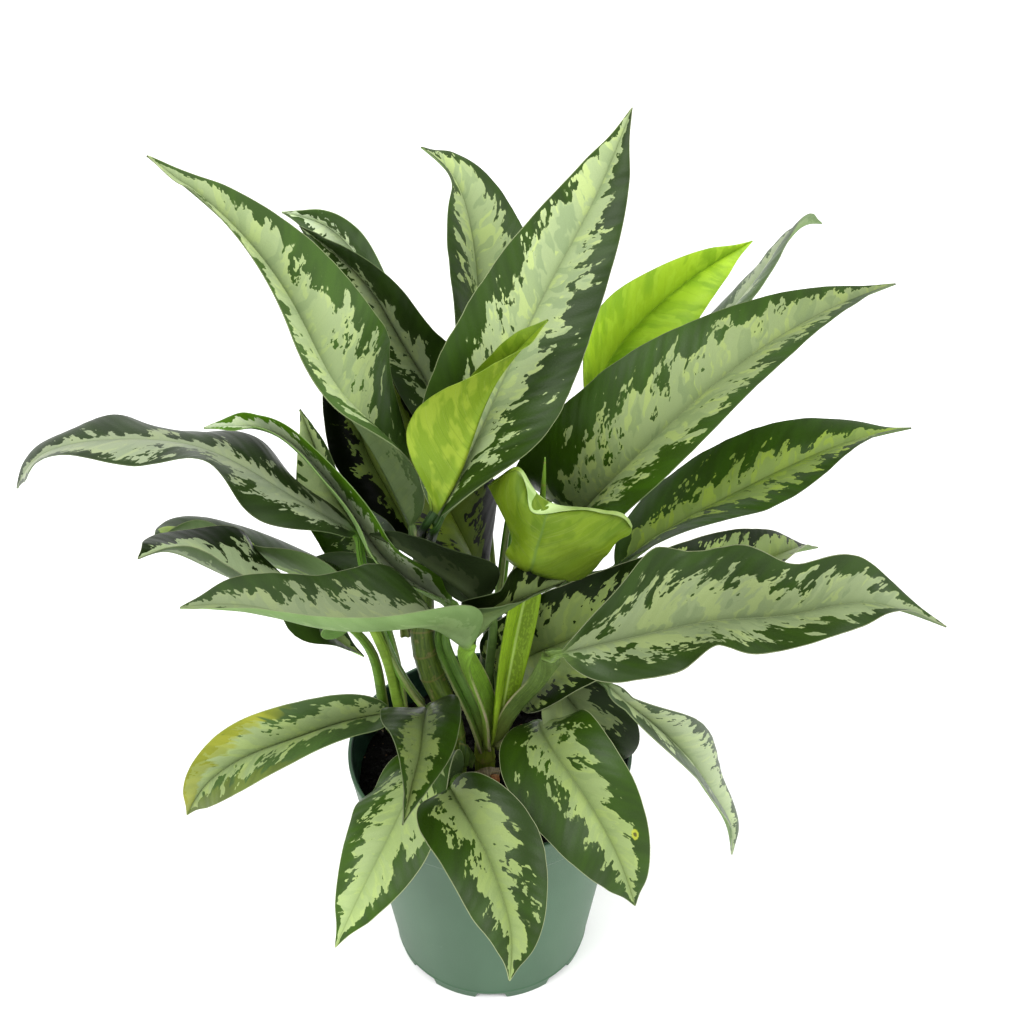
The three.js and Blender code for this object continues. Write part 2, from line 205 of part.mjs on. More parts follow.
    roll: [0.713, 0.347, 0.351, 0.477], foldL: [0.777, 0.664, 0.677, 0.636], foldR: [0.501, 0.553, 0.56, 0.46],
    wideL: [0.997, 1.007, 1.008, 0.976, 0.988], wideR: [0.992, 0.984, 0.96, 0.984, 0.995], curl: [0.314, 0.363], wave: [2.5, -0.0, 0.01, 0.0, 0.0],
    petiole: [[4.5, 51.0, 200.0], [7.0, 50.0, 222.0], [11.2, 53.0, 268.1], [20.0, 57.0, 282.0]], stalk: [3.2, 2.6, 2.4] },
  { name: "leaf_07_back_right_narrow", width: 56,
    ref: [0.0, -0.6, 0.8], mid: [[78.1, 83.0, 298.1], [95.2, 87.8, 328.5], [120.3, 94.0, 352.3], [142.1, 110.4, 373.5], [159.1, 136.2, 385.9], [176.2, 160.9, 371.4]],
    roll: [-1.132, -1.044, -1.223, -1.226], foldL: [0.158, -0.066, -0.038, 0.294], foldR: [0.318, 0.049, 0.17, 0.478],
    wideL: [0.993, 0.986, 0.94, 0.7, 0.6], wideR: [0.999, 1.003, 0.95, 0.7, 0.6], curl: [0.354, 0.284], wave: [2.5, 0.0, -0.16, -0.0, -0.04],
    petiole: [[9.0, 61.0, 197.0], [22.0, 94.0, 226.0], [50.0, 104.0, 262.0]], stalk: [3.2, 2.6, 2.4] },
];

// Stems: centre line points with a radius each, from below the soil upwards.
const STEMS = [
  { name: "stem_a_front", points: [[-2, 3, 108], [-3, 1.5, 122], [-3, 0.5, 133], [-3, 0, 143], [-2.5, 0, 151]], radii: [5.2, 5.2, 5.6, 5.2, 5.0] },
  { name: "stem_b_cane", points: [[-17, -9, 108], [-18.5, -11, 124], [-16.5, -10.5, 145], [-18.5, -8, 172], [-29, -5, 196], [-34.5, 1, 218], [-34, 11, 240], [-32, 14, 256], [-32, 14, 266]], radii: [4.6, 4.8, 4.8, 5.6, 6.6, 6.6, 5.8, 5.0, 4.4] },
  { name: "stem_c_back", points: [[-1, 48, 108], [-2, 50, 124], [-3, 54, 146], [0, 57, 172], [3, 56, 197]], radii: [5.2, 5.2, 5, 4.8, 4.4] },
  { name: "stem_d_left", points: [[-46, 18, 108], [-46, 17, 122], [-46, 15, 134], [-45, 13, 146]], radii: [4.6, 4.6, 4.6, 3.6] },
];

// The rolled young leaf: centre line and radii.
const SPEAR = { name: "spear", points: [[22.5, 4, 262], [24.5, 3, 282], [26.5, 1.5, 305], [27.2, 0.5, 331.5]], radii: [2.0, 2.2, 1.8, 0.35] };

// ---- helpers ----------------------------------------------------------------
const wasm = await Module();
wasm.setup();

// Natural-ended uniform cubic B-spline through its end points. Values are numbers or [x, y, z].
function spline(values, t) {
  const n = values.length;
  const x = Math.min(Math.max(t, 0), 1) * (n - 1);
  const i = Math.min(Math.floor(x), n - 2);
  const u = x - i;
  const w = [(1 - u) ** 3 / 6, (3 * u ** 3 - 6 * u ** 2 + 4) / 6, (-3 * u ** 3 + 3 * u ** 2 + 3 * u + 1) / 6, u ** 3 / 6];
  const at = (k, c) => {
    const get = (q) => (c === undefined ? values[q] : values[q][c]);
    if (k < 0) return 2 * get(0) - get(1);
    if (k > n - 1) return 2 * get(n - 1) - get(n - 2);
    return get(k);
  };
  const mix = (c) => w[0] * at(i - 1, c) + w[1] * at(i, c) + w[2] * at(i + 1, c) + w[3] * at(i + 2, c);
  return Array.isArray(values[0]) ? new THREE.Vector3(mix(0), mix(1), mix(2)) : mix();
}

function tangent(values, t) {
  const h = 1e-3;
  const a = spline(values, Math.max(0, t - h));
  return spline(values, Math.min(1, t + h)).sub(a).normalize();
}

// The usual outline of a blade: rounded base, widest at two fifths, drawn-out tip.
const outline = (t) => Math.max(Math.sin(Math.PI * t ** 0.72), 0) ** 0.9;

const between = (t, a, b, c) => (t < 0.5 ? a + (b - a) * t * 2 : b + (c - b) * (t - 0.5) * 2);

// The fold of the two halves. Narrow parts of a leaf fold less, so that its halves stay apart.
function folds(d, t, half) {
  const f = [spline(d.foldL, t), spline(d.foldR, t)], sum = f[0] + f[1];
  const most = 1.15 + 1.65 * THREE.MathUtils.smoothstep(half, 2.4, 13);
  return sum > most ? f.map((v) => (v * most) / sum) : f;
}

// The direction that a blade's upper face looks towards, square to its midrib.
function normalOf(ref, along, roll) {
  const n = new THREE.Vector3(...ref);
  n.addScaledVector(along, -n.dot(along)).normalize();
  const s = new THREE.Vector3().crossVectors(along, n);
  return n.multiplyScalar(Math.cos(roll)).addScaledVector(s, Math.sin(roll));
}

// One closed ring across a leaf: the upper face from edge to edge, then the lower face back.
function ring(centre, along, ref, roll, fold, curl, half, thick, mid, lift, grow, section = SECTION) {
  const n = normalOf(ref, along, roll), s = new THREE.Vector3().crossVectors(along, n);
  const upper = [], lower = [];
  for (const v of section) {
    const side = v < 0 ? 0 : 1, x = Math.abs(v), sign = v < 0 ? -1 : 1;
    const k = Math.abs(curl[side]) < 0.02 ? 0.02 : curl[side];
    const a = fold[side] + k, th = a - 2 * k * x;
    const across = ((Math.sin(a) - Math.sin(th)) / (2 * k)) * (half[side] + grow);
    const up = ((Math.cos(th) - Math.cos(a)) / (2 * k)) * (half[side] + grow) + lift[side] * x * x;
    const p = centre.clone().addScaledVector(s, sign * across).addScaledVector(n, up);
    if (x === 1) { upper.push(p); continue; }
    const h = thick * (x === 0 ? 1 : mid);
    const normal = x === 0 ? n.clone() : n.clone().multiplyScalar(Math.cos(th)).addScaledVector(s, -sign * Math.sin(th));
    upper.push(p.clone().addScaledVector(normal, h * UPPER_SHARE + grow));
    lower.push(p.clone().addScaledVector(normal, h * (UPPER_SHARE - 1) - grow));
  }
  return [...upper, ...lower.reverse()];
}

// A point of a net of control points, t along it and v across it from -1 to 1.
function netPoint(net, t, v) {
  return spline(net[0].map((_, j) => spline(net.map((row) => row[j]), t).toArray()), (v + 1) / 2);
}

// The same kind of ring as above, laid over a net.
function netRing(net, t, thick, mid, grow) {
  const upper = [], lower = [], e = 2e-3;
  for (const v of NET_SECTION) {
    const p = netPoint(net, t, v);
    const across = netPoint(net, t, Math.min(1, v + e)).sub(netPoint(net, t, Math.max(-1, v - e)));
    const along = netPoint(net, Math.min(1, t + e), v).sub(netPoint(net, Math.max(0, t - e), v));
    const normal = across.cross(along).normalize();
    if (Math.abs(v) === 1) { upper.push(p); continue; }
    const h = thick * (v === 0 ? 1 : mid);
    upper.push(p.clone().addScaledVector(normal, h * UPPER_SHARE + grow));
    lower.push(p.clone().addScaledVector(normal, h * (UPPER_SHARE - 1) - grow));
  }
  return [...upper, ...lower.reverse()];
}

// Rings along a whole leaf, from the foot of its petiole to its tip.
function leafSections(d, grow = 0) {
  const rings = [];
  const base = spline(d.mid, 0), dir = tangent(d.mid, 0);
  const start = spline(d.petiole, 0);
  const reach = base.distanceTo(new THREE.Vector3(...d.petiole.at(-1)));
  const stalk = [...d.petiole, base.clone().addScaledVector(dir, -Math.min(8, reach * 0.35)).toArray(), base.toArray()];
  const roll0 = spline(d.roll, 0), fold0 = folds(d, 0, 0);
  const up = normalOf(d.ref, dir, roll0), face = d.face ? new THREE.Vector3(...d.face).normalize() : up;
  for (let i = 0; i < PETIOLE_STATIONS; i++) {
    const t = i / PETIOLE_STATIONS;
    const half = spline([...d.stalk, PETIOLE_HALF_WIDTH], t), open = face.clone().lerp(up, t * t);
    // a wide stalk is a thin-edged channel, a narrow one is nearly round
    const wing = THREE.MathUtils.smoothstep(half, 3.6, 5.5), f = fold0.map((v) => v + (0.62 - v) * wing);
    rings.push(ring(i ? spline(stalk, t) : start, tangent(stalk, t), open, 0, f, [0, 0], [half, half], Math.min(4.2 - t, half * 1.35), 0.85 - 0.25 * wing, [0, 0], grow, d.net ? NET_SECTION : SECTION));
  }
  for (const t of BLADE_STATIONS) {
    if (d.net) { rings.push(netRing(d.net, t, between(t, ...BLADE_THICK), t === 0 ? 0.85 : 0.62, grow)); continue; }
    const f = outline(t), [waves, hl, pl, hr, pr] = d.wave;
    const half = [d.wideL, d.wideR].map((m) => Math.hypot((d.width / 2) * f * spline(m, t), PETIOLE_HALF_WIDTH * (1 - t)) + 0.25);
    const lift = [hl * f * Math.sin(2 * Math.PI * waves * t + pl), hr * f * Math.sin(2 * Math.PI * waves * t + pr)];
    rings.push(ring(spline(d.mid, t), tangent(d.mid, t), d.ref, spline(d.roll, t), folds(d, t, Math.min(...half)), d.curl, half, between(t, ...BLADE_THICK), t === 0 ? 0.85 : 0.62, lift, grow));
  }
  return rings;
}

function stemSections(d, grow = 0, steps = 2) {
  const rings = [], n = (d.points.length - 1) * steps;
  const ref = new THREE.Vector3(1, 0, 0);
  for (let i = 0; i <= n; i++) {
    const t = i / n, c = spline(d.points, t), z = tangent(d.points, t);
    const x = ref.clone().addScaledVector(z, -ref.dot(z)).normalize(), y = new THREE.Vector3().crossVectors(z, x);
    const r = spline(d.radii, t) + grow;
    rings.push(Array.from({ length: STEM_SIDES }, (_, j) => {
      const a = (2 * Math.PI * j) / STEM_SIDES;
      return c.clone().addScaledVector(x, r * Math.cos(a)).addScaledVector(y, r * Math.sin(a));
    }));
  }
  return rings;
}

// A closed geometry as a solid, turned the right way out.
function solid(geometry) {
  const g = new THREE.BufferGeometry().setAttribute("position", geometry.getAttribute("position"));
  if (geometry.index) g.setIndex(geometry.index);
  const m = mergeVertices(g, 1e-4);
  const p = m.getAttribute("position"), tri = [];
  for (let i = 0; i < m.index.count; i += 3) {
    const [a, b, c] = [0, 1, 2].map((k) => m.index.getX(i + k));
    if (a !== b && b !== c && a !== c) tri.push(a, b, c);
  }
  const make = (t) => new wasm.Manifold(new wasm.Mesh({ numProp: 3, vertProperties: new Float32Array(p.array), triVerts: new Uint32Array(t) }));
  const made = make(tri);
  if (made.volume() > 0) return made;
  for (let i = 0; i < tri.length; i += 3) [tri[i + 1], tri[i + 2]] = [tri[i + 2], tri[i + 1]];
  return make(tri);
}

// A closed loft through rings of n points. Opposite faces are split along the same diagonal, so a
// thin twisted blade keeps its upper face above its lower one. Each end is capped by a strip that
// joins its upper and lower points in pairs.
function loft(sections) {
  const n = sections[0].length, index = [];
  const at = (i, j) => i * n + ((j + n) % n);
  for (let i = 0; i + 1 < sections.length; i++) {
    for (let j = 0; j < n; j++) {
      const [a, b, c, d] = [at(i, j), at(i, j + 1), at(i + 1, j + 1), at(i + 1, j)];
      if (j < n / 2) index.push(a, b, c, a, c, d);
      else index.push(a, b, d, b, c, d);
    }
  }
  const cap = (row, flip) => {
    for (let j = 0; j < n / 2; j++) {
      const [a, b, c, d] = [at(row, j), at(row, j + 1), at(row, n - j - 1), at(row, n - j)];
      for (const [p, q, r] of [[a, b, c], [a, c, d]]) if (p !== q && q !== r && p !== r) index.push(...(flip ? [p, r, q] : [p, q, r]));
    }
  };
  cap(0, true);
  cap(sections.length - 1, false);
  const g = new THREE.BufferGeometry().setFromPoints(sections.flat());
  return solid(g.setIndex(index));
}

// The part of a solid that is left in one piece, without chips.
function largest(s) {
  return s.decompose().sort((a, b) => b.volume() - a.volume())[0];
}

// Takes the room of each neighbour, with its gap, out of a solid that runs into it.
function clear(s, neighbours) {
  for (const other of neighbours) {
    const a = s.boundingBox(), b = other.boundingBox();
    if ([0, 1, 2].some((k) => a.min[k] > b.max[k] || b.min[k] > a.max[k])) continue;
    if (s.intersect(other).volume() > 1e-4) s = largest(s.subtract(other));
  }
  return s;
}

const part = new THREE.Group();

function add(name, s, material) {
  const m = s.getMesh(), v = new Float32Array(m.numVert * 3);
  for (let i = 0; i < m.numVert; i++) v.set(m.vertProperties.subarray(i * m.numProp, i * m.numProp + 3), i * 3);
  const g = new THREE.BufferGeometry();
  g.setAttribute("position", new THREE.BufferAttribute(v, 3));
  g.setIndex(new THREE.BufferAttribute(m.triVerts, 1));
  g.computeVertexNormals();
  const mesh = new THREE.Mesh(g, new THREE.MeshStandardMaterial(material));
  mesh.name = name;
  part.add(mesh);
}

// ---- pot --------------------------------------------------------------------
// Outer radius of the wall at a height. The wall is a straight taper.
const outer = (z) => FOOT_RADIUS + ((RIM_RADIUS - RIM_STEP - FOOT_RADIUS) * z) / POT_HEIGHT;
const bandFoot = POT_HEIGHT - RIM_BAND;
const profile = [
  [0, 0], [PAD_RADIUS, 0], [PAD_RADIUS, FLOOR_UNDER], [FOOT_RADIUS - FOOT_WALL, FLOOR_UNDER],
  [FOOT_RADIUS - FOOT_WALL, 0], [FOOT_RADIUS, 0], [outer(9), 9], [outer(60), 60], [outer(bandFoot - 0.6), bandFoot - 0.6],
  [outer(bandFoot) + RIM_STEP, bandFoot], [RIM_RADIUS, POT_HEIGHT - 1], [RIM_RADIUS - 0.6, POT_HEIGHT],
  [RIM_RADIUS - 1.9, POT_HEIGHT], [RIM_RADIUS - 2.5, POT_HEIGHT - 0.8], [outer(POT_HEIGHT - 4) - WALL, POT_HEIGHT - 4],
  [outer(60) - WALL, 60], [outer(FLOOR_TOP + 2) - WALL, FLOOR_TOP + 2], [outer(FLOOR_TOP) - WALL - 2, FLOOR_TOP], [0, FLOOR_TOP],
].map(([x, y]) => new THREE.Vector2(x, y));
let pot = solid(new THREE.LatheGeometry(profile, POT_SEGMENTS).rotateX(Math.PI / 2));
for (let i = 0; i < NOTCHES; i++) {
  const a = (2 * Math.PI * i) / NOTCHES - Math.PI / 2;
  // a notch with slanted ends through the foot ring
  const half = NOTCH_WIDTH / 2, top = NOTCH_WIDTH / 2 - 1.6;
  const shape = new THREE.Shape([[-half - 0.5, -1], [half + 0.5, -1], [half, 0], [top, NOTCH_HEIGHT], [-top, NOTCH_HEIGHT], [-half, 0]].map(([x, y]) => new THREE.Vector2(x, y)));
  const cut = new THREE.ExtrudeGeometry(shape, { depth: 14, bevelEnabled: false });
  cut.rotateX(Math.PI / 2).rotateZ(Math.PI / 2).translate(0, 0, 0);
  cut.translate(FOOT_RADIUS - 7, 0, 0).rotateZ(a);
  pot = pot.subtract(solid(cut));
}
for (let i = 0; i < DRAIN_HOLES; i++) {
  const a = (2 * Math.PI * (i + 0.5)) / DRAIN_HOLES;
  const hole = new THREE.CylinderGeometry(DRAIN_RADIUS, DRAIN_RADIUS, 8, 10).rotateX(Math.PI / 2);
  pot = pot.subtract(solid(hole.translate(DRAIN_CIRCLE * Math.cos(a), DRAIN_CIRCLE * Math.sin(a), FLOOR_TOP - 1)));
}
add("pot", pot, { color: 0x61866f, roughness: 0.55, metalness: 0 });

// ---- stems and soil ------------------------------------------------------------
const stems = STEMS.map((d) => ({ d, s: loft(stemSections(d)), room: loft(stemSections(d, GAP)) }));
const soilRadius = (z) => outer(z) - WALL - GAP;
const bump = (x, y) => 1.1 * Math.sin(x * 0.13 + 1) * Math.cos(y * 0.11) + 0.7 * Math.sin(x * 0.27 - y * 0.21);
const soilRing = (r, z, bumps) => Array.from({ length: SOIL_SEGMENTS }, (_, j) => {
  const a = (2 * Math.PI * j) / SOIL_SEGMENTS, x = r * Math.cos(a), y = r * Math.sin(a);
  return new THREE.Vector3(x, y, z + bumps * bump(x, y));
});
let soil = loft([
  soilRing(soilRadius(FLOOR_TOP + 2.4) - 2, FLOOR_TOP + GAP, 0), soilRing(soilRadius(FLOOR_TOP + 4), FLOOR_TOP + 4, 0), soilRing(soilRadius(SOIL_TOP - 3), SOIL_TOP - 3, 0),
  soilRing(soilRadius(SOIL_TOP) - 1.5, SOIL_TOP - 1.6, 0.5), soilRing(60, SOIL_TOP - 0.6, 1), soilRing(44, SOIL_TOP, 1), soilRing(28, SOIL_TOP + 0.4, 1), soilRing(13, SOIL_TOP + 0.4, 1),
]);
for (const { room } of stems) soil = soil.subtract(room);
add("soil", soil, { color: 0x1a1714, roughness: 0.95, metalness: 0 });

const placed = [];
for (const { d, s, room } of stems) {
  add(d.name, clear(s, placed), { color: 0x7d9440, roughness: 0.5, metalness: 0 });
  placed.push(room);
}

// ---- leaves ---------------------------------------------------------------------
placed.push(loft(stemSections(SPEAR, GAP)));
add(SPEAR.name, loft(stemSections(SPEAR)), { color: 0x8fb52c, roughness: 0.4, metalness: 0 });
const LIME = /lime/, SHADE = /shaded/;
for (const d of LEAVES) {
  const s = clear(loft(leafSections(d)), [pot, soil, ...placed]);
  add(d.name, s, { color: LIME.test(d.name) ? 0x93bf24 : SHADE.test(d.name) ? 0x2c3d27 : 0x7f9c72, roughness: 0.42, metalness: 0 });
  placed.push(loft(leafSections(d, GAP)).add(s));
}

export default part;
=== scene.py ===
# Potted chinese evergreen: the visual model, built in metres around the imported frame.
# Leaves are swept surfaces with their own coordinates (mm along the midrib, mm across),
# and every surface pattern is procedural and reads those coordinates.
import math

import bpy
import numpy as np
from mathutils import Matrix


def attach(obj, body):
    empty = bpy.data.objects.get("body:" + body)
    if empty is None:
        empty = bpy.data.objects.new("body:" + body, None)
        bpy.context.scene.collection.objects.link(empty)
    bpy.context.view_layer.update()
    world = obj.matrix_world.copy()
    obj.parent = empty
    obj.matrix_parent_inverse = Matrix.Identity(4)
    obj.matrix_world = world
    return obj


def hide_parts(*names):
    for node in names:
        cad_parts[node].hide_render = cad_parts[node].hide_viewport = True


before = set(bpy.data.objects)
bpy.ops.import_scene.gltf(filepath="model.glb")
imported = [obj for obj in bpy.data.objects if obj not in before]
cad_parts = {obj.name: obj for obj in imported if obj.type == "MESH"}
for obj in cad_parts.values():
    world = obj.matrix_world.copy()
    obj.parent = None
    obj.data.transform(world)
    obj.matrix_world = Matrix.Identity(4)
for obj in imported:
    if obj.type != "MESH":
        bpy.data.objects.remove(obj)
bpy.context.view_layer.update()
MM = 0.001

# ---- the leaves: the same table as the solid part ---------------------------------
LEAVES = [
    dict(name='leaf_17_front_small', width=42, ref=[0, -0.6, 0.8],
         mid=[[-31.9, -13.4, 183.6], [-31.4, -32.2, 197.9], [-31.8, -53.6, 207.7], [-31.7, -76.4, 213.4], [-34.8, -99, 217.2], [-37.5, -123.4, 215.8]],
         roll=[0.188, 0.118, -0.16, -0.467], fold_l=[0.423, 0.45, 0.457, 0.728], fold_r=[0.339, 0.391, 0.517, 0.978],
         wide_l=[1.008, 1.01, 1.016, 0.998, 0.96], wide_r=[1.036, 1.066, 1.063, 1.025, 1.001], curl=[0.303, 0.211], wave=[2.5, 0, 0, -0, -0],
         petiole=[[-23.2, -13, 187.2], [-27.1, -16, 190.7]], stalk=[3.2, 2.4], face=None),
    dict(name='leaf_15_front_centre', width=58, ref=[0, -0.6, 0.8],
         mid=[[-17.9, -65.6, 178.9], [-11.6, -85.2, 184], [-1.3, -103.4, 179], [6.7, -120.5, 167.7], [12.6, -135.3, 153.3], [10.5, -150.8, 140.1]],
         roll=[0.247, -0.341, -0.347, -0.488], fold_l=[0.744, 0.5, 0.331, 0.289], fold_r=[0.478, 0.471, 0.303, 0.36],
         wide_l=[0.961, 0.923, 0.964, 0.988, 1.009], wide_r=[1.045, 1.033, 0.999, 1.026, 0.994], curl=[0.423, 0.26], wave=[2.5, 0.86, 1.01, -1.66, -9.33],
         petiole=[[-13.5, -17, 133], [-12, -36, 158]], stalk=[2.8, 2.6], face=None),
    dict(name='leaf_14_front_right', width=60, ref=[0, -0.6, 0.8],
         mid=[[25.5, -20.9, 180.5], [29, -44, 190.2], [40.9, -65.9, 187.7], [55.3, -82.9, 173.8], [66.5, -93.2, 152.6], [72.7, -95.9, 128]],
         roll=[-0.154, 0.2, -0.002, 0.099], fold_l=[0.166, 0.503, 0.358, 0.344], fold_r=[0.215, 0.329, 0.277, 0.236],
         wide_l=[0.987, 0.965, 0.963, 0.984, 0.998], wide_r=[1.033, 1.044, 1.011, 1.062, 1.046], curl=[0.401, 0.213], wave=[2.5, 0.92, -1.34, 0.53, -2.02],
         petiole=[[4.8, -7, 151.3], [10.7, -14, 163.3], [17.9, -18, 175]], stalk=[3, 2.8], face=None),
    dict(name='leaf_16_front_left', width=58, ref=[0, -0.6, 0.8],
         mid=[[-30.6, -18.9, 140.5], [-34.5, -33.1, 161.7], [-40.9, -57, 162.9], [-51.5, -78.9, 152.4], [-63.8, -97, 136.3], [-75.2, -112.8, 117]],
         roll=[0.776, 0.812, 0.258, 0.241], fold_l=[0.297, 0.278, 0.022, 0.024], fold_r=[0.072, 0.028, -0.011, -0.041],
         wide_l=[0.997, 0.996, 1.028, 1.055, 1.033], wide_r=[1.005, 0.988, 0.98, 0.952, 0.956], curl=[0.242, 0.392], wave=[2.5, 0.62, -3.62, 0.85, 0.83],
         petiole=[[-20, -17, 142.9], [-24.5, -20, 147.4]], stalk=[3, 2.6], face=None),
    dict(name='leaf_18_low_left_yellowing', width=52, ref=[0, -0.6, 0.8],
         mid=[[-53.6, 0.5, 167.8], [-75.4, -13.8, 175.6], [-99.3, -26.9, 175.1], [-125.4, -33, 170], [-147.1, -38.4, 154.8], [-158, -37.6, 130.6]],
         roll=[-0.218, 0.054, -0.114, -0.315], fold_l=[0.904, 1.187, 0.584, 0.49], fold_r=[1.003, 1.113, 0.637, 0.629],
         wide_l=[1.007, 0.99, 1.008, 1.013, 1.006], wide_r=[0.984, 0.949, 0.998, 0.995, 1.009], curl=[0.286, 0.34], wave=[2.5, -0, 0.01, 0, -0.06],
         petiole=[[-48, 9, 144], [-50, 6, 154]], stalk=[3, 2.4], face=None),
    dict(name='leaf_19_left_folded', width=62, ref=[0, -0.1, 0.995],
         mid=[[-10.2, -36.9, 247.4], [-23.9, -49.6, 274.8], [-47.5, -64.1, 282.2], [-77.2, -69.5, 287.7], [-106.8, -65.4, 299.1], [-137.4, -68.8, 297.8]],
         roll=[0.291, -0.202, 0.144, -0.605], fold_l=[0.947, 1.02, 0.885, 0.97], fold_r=[0.007, 0.327, -0.013, 0.427],
         wide_l=[1.002, 0.996, 0.997, 1.001, 1.001], wide_r=[1.108, 1.155, 1.003, 1.028, 1.058], curl=[-0.573, 0.111], wave=[2.5, -0, 0.33, -0.01, -0.58],
         petiole=[[-1, -8, 152.3], [-1.7, -12, 179.2], [-8, -19, 205.9], [-14.4, -26, 230.2], [-12.6, -29, 242.6]], stalk=[4.6, 8.2, 9.6, 8, 7, 4.4], face=[0.75, -0.4, 0.3]),
    dict(name='leaf_10_broad_right', width=70, ref=[0, -0.6, 0.8],
         mid=[[35.5, -45.8, 250.8], [73.5, -33.8, 250.3], [110.8, -26.9, 256.5], [146.5, -35.5, 262.7], [181, -24.6, 269.8], [221.2, -30.5, 253.8]],
         roll=[0.097, -0.586, 0.13, -1.239], fold_l=[1.079, 0.887, 1.135, 0.381], fold_r=[-0.048, 0.721, 0.63, 0.276],
         wide_l=[1.109, 1.261, 1.065, 1.083, 1.068], wide_r=[1.076, 1.02, 0.98, 1.064, 1.042], curl=[0.13, 0.21], wave=[4, 6, 1.5, -4.93, 1.26],
         petiole=[[4.3, -6, 151.1], [12.2, -13, 180.9], [23.7, -25, 207.3], [31.3, -33, 226.6]], stalk=[4.6, 7.2, 8.4, 7, 4.6], face=[-0.1, 0.3, 1]),
    dict(name='leaf_13_low_right_hanging', width=46, ref=[0, -0.6, 0.8],
         mid=[[59.7, -23.5, 209.3], [84.6, -17.3, 176], [104.6, -6.9, 142.7], [119.4, 2.3, 106.3], [135.8, 13, 70.5], [140.5, 23.5, 32.3]],
         roll=[0.193, -0.365, -0.794, -0.432], fold_l=[1.42, 0.639, 0.192, 0.289], fold_r=[1.088, 0.756, 0.519, 0.437],
         wide_l=[0.914, 0.875, 0.879, 0.925, 0.972], wide_r=[0.982, 0.993, 0.994, 0.994, 0.996], curl=[0.75, 0.326], wave=[2.5, 0.01, -0.15, 0, 0],
         petiole=[[2, 45, 133], [30, 38, 158], [48, 10, 190]], stalk=[3, 2.4], face=None),
    dict(name='leaf_27_lime_folded', width=68, ref=[0, -1, 0.2],
         mid=[[20, -7, 268.6], [21.1, -28.5, 287.1], [22.9, -23.1, 294.7], [25.4, -23, 303.4], [27.2, -19.9, 310.9], [28.5, -17.4, 313.7], [32.9, -9.7, 314.6], [22.7, -19, 313.2]],
         roll=[0, 0, 0, 0], fold_l=[-0.108, -0.154, 0.225, 0.22], fold_r=[-0.044, -0.202, 0.011, 0.384],
         wide_l=[1.093, 1.042, 1.157, 1.09, 1.045], wide_r=[1.023, 1.008, 1.007, 1.08, 1.087], curl=[0.108, 0.135], wave=[2.5, 0, 0.02, -0, -0.02],
         petiole=[[2.1, -3, 148.2], [6, -12, 186.3], [10.2, -12, 219.1], [14.2, -1, 238.1]], stalk=[4.8, 7.8, 10, 11, 8.6], face=[0.45, -0.75, 0.45],
         net=[[[18, -6, 268.4], [18.5, -5.9, 268.4], [19, -6.5, 268.5], [19.5, -7.1, 268.6], [20, -6.9, 268.6], [20.5, -7.1, 268.7], [21, -6.5, 268.2], [21.5, -5.9, 267.7], [22, -6, 267.8]],
              [[5.8, -15.7, 285], [9.5, -19.9, 284.8], [13.1, -24.1, 285.7], [16, -25, 284.3], [20.8, -30.5, 289.8], [27.1, -23.8, 279], [32.5, -17.1, 271], [39.6, -10.9, 262.8], [46.1, -4.2, 256.5]],
              [[11.7, -15.2, 291.9], [13.7, -16.1, 291.3], [16.3, -19.4, 293.9], [20.1, -22.4, 295.9], [21.5, -23, 294.8], [30.9, -24.6, 293], [39.3, -20.7, 287.8], [49, -16.6, 283.9], [55.2, -13.4, 282.9]],
              [[11.9, -13.5, 296.1], [14.2, -16, 298.8], [16.6, -19.1, 301.2], [20, -21.6, 302.3], [24.8, -22.6, 304], [33.4, -25.8, 302.4], [41.7, -26.4, 300], [49.2, -24.6, 296.4], [57.6, -20.4, 289.4]],
              [[8, -9, 302.9], [10.9, -11.8, 305.7], [14.7, -15.7, 308.4], [20, -19, 311.6], [27.1, -19.6, 311.1], [34.8, -22.1, 309.8], [44.5, -22.4, 306.1], [53.8, -21.7, 301.6], [61.1, -18.9, 298.3]],
              [[3.6, -4.7, 310.6], [5.8, -7.8, 313.5], [10.9, -11.3, 318.5], [14.5, -15.9, 319.9], [29.4, -17, 312.2], [38.8, -20.2, 313.2], [50.2, -20, 310.3], [61, -19.6, 304.6], [68.7, -17.9, 299.1]],
              [[-0.5, 0.7, 316.9], [6.9, -1.5, 324], [15.7, -4.4, 336.3], [23.1, -7.2, 320.1], [32.7, -9, 313.1], [43.8, -14.8, 314.9], [55.7, -15, 313.1], [66.1, -15.4, 312.9], [68.4, -14.4, 303.3]],
              [[0.4, -1.2, 315.8], [6.8, -3.7, 322.1], [15, -6.2, 332.8], [20.1, -13.5, 320.7], [18.2, -20.9, 310.5], [42.9, -16.9, 316.2], [53.8, -19.5, 313.1], [63.9, -19.3, 312.3], [67.7, -17.5, 303.5]]]),
    dict(name='leaf_29_small_centre', width=44, ref=[0, 0.196, 0.981],
         mid=[[-5, -23.6, 244.9], [0.9, -24.1, 253.6], [9.3, -20.4, 257.6], [18.3, -16.3, 260.8], [28.1, -14.1, 263.8], [37.9, -11.6, 267.2]],
         roll=[-0.177, 0.828, 0.404, 0.438], fold_l=[1.647, 1.776, 1.007, 0.968], fold_r=[1.654, 1.339, 0.91, 0.835],
         wide_l=[1.003, 1.005, 1.045, 1.047, 1.02], wide_r=[1.106, 1.094, 1.039, 1.017, 1.009], curl=[-0, -0], wave=[2.5, 0, -0.02, 0, -0.07],
         petiole=[[-4, 5, 153], [-8, 5, 190], [-12, -4, 222]], stalk=[2.6, 2.2], face=None),
    dict(name='leaf_26_lime_rolled', width=60, ref=[-0.83, 0.207, 0.518],
         mid=[[-25.2, -13.4, 310], [-14, 0.1, 322.4], [-7.4, 11.7, 339.8], [1.1, 21, 357.6], [13.4, 24.5, 374.9], [28.1, 25.2, 391.5]],
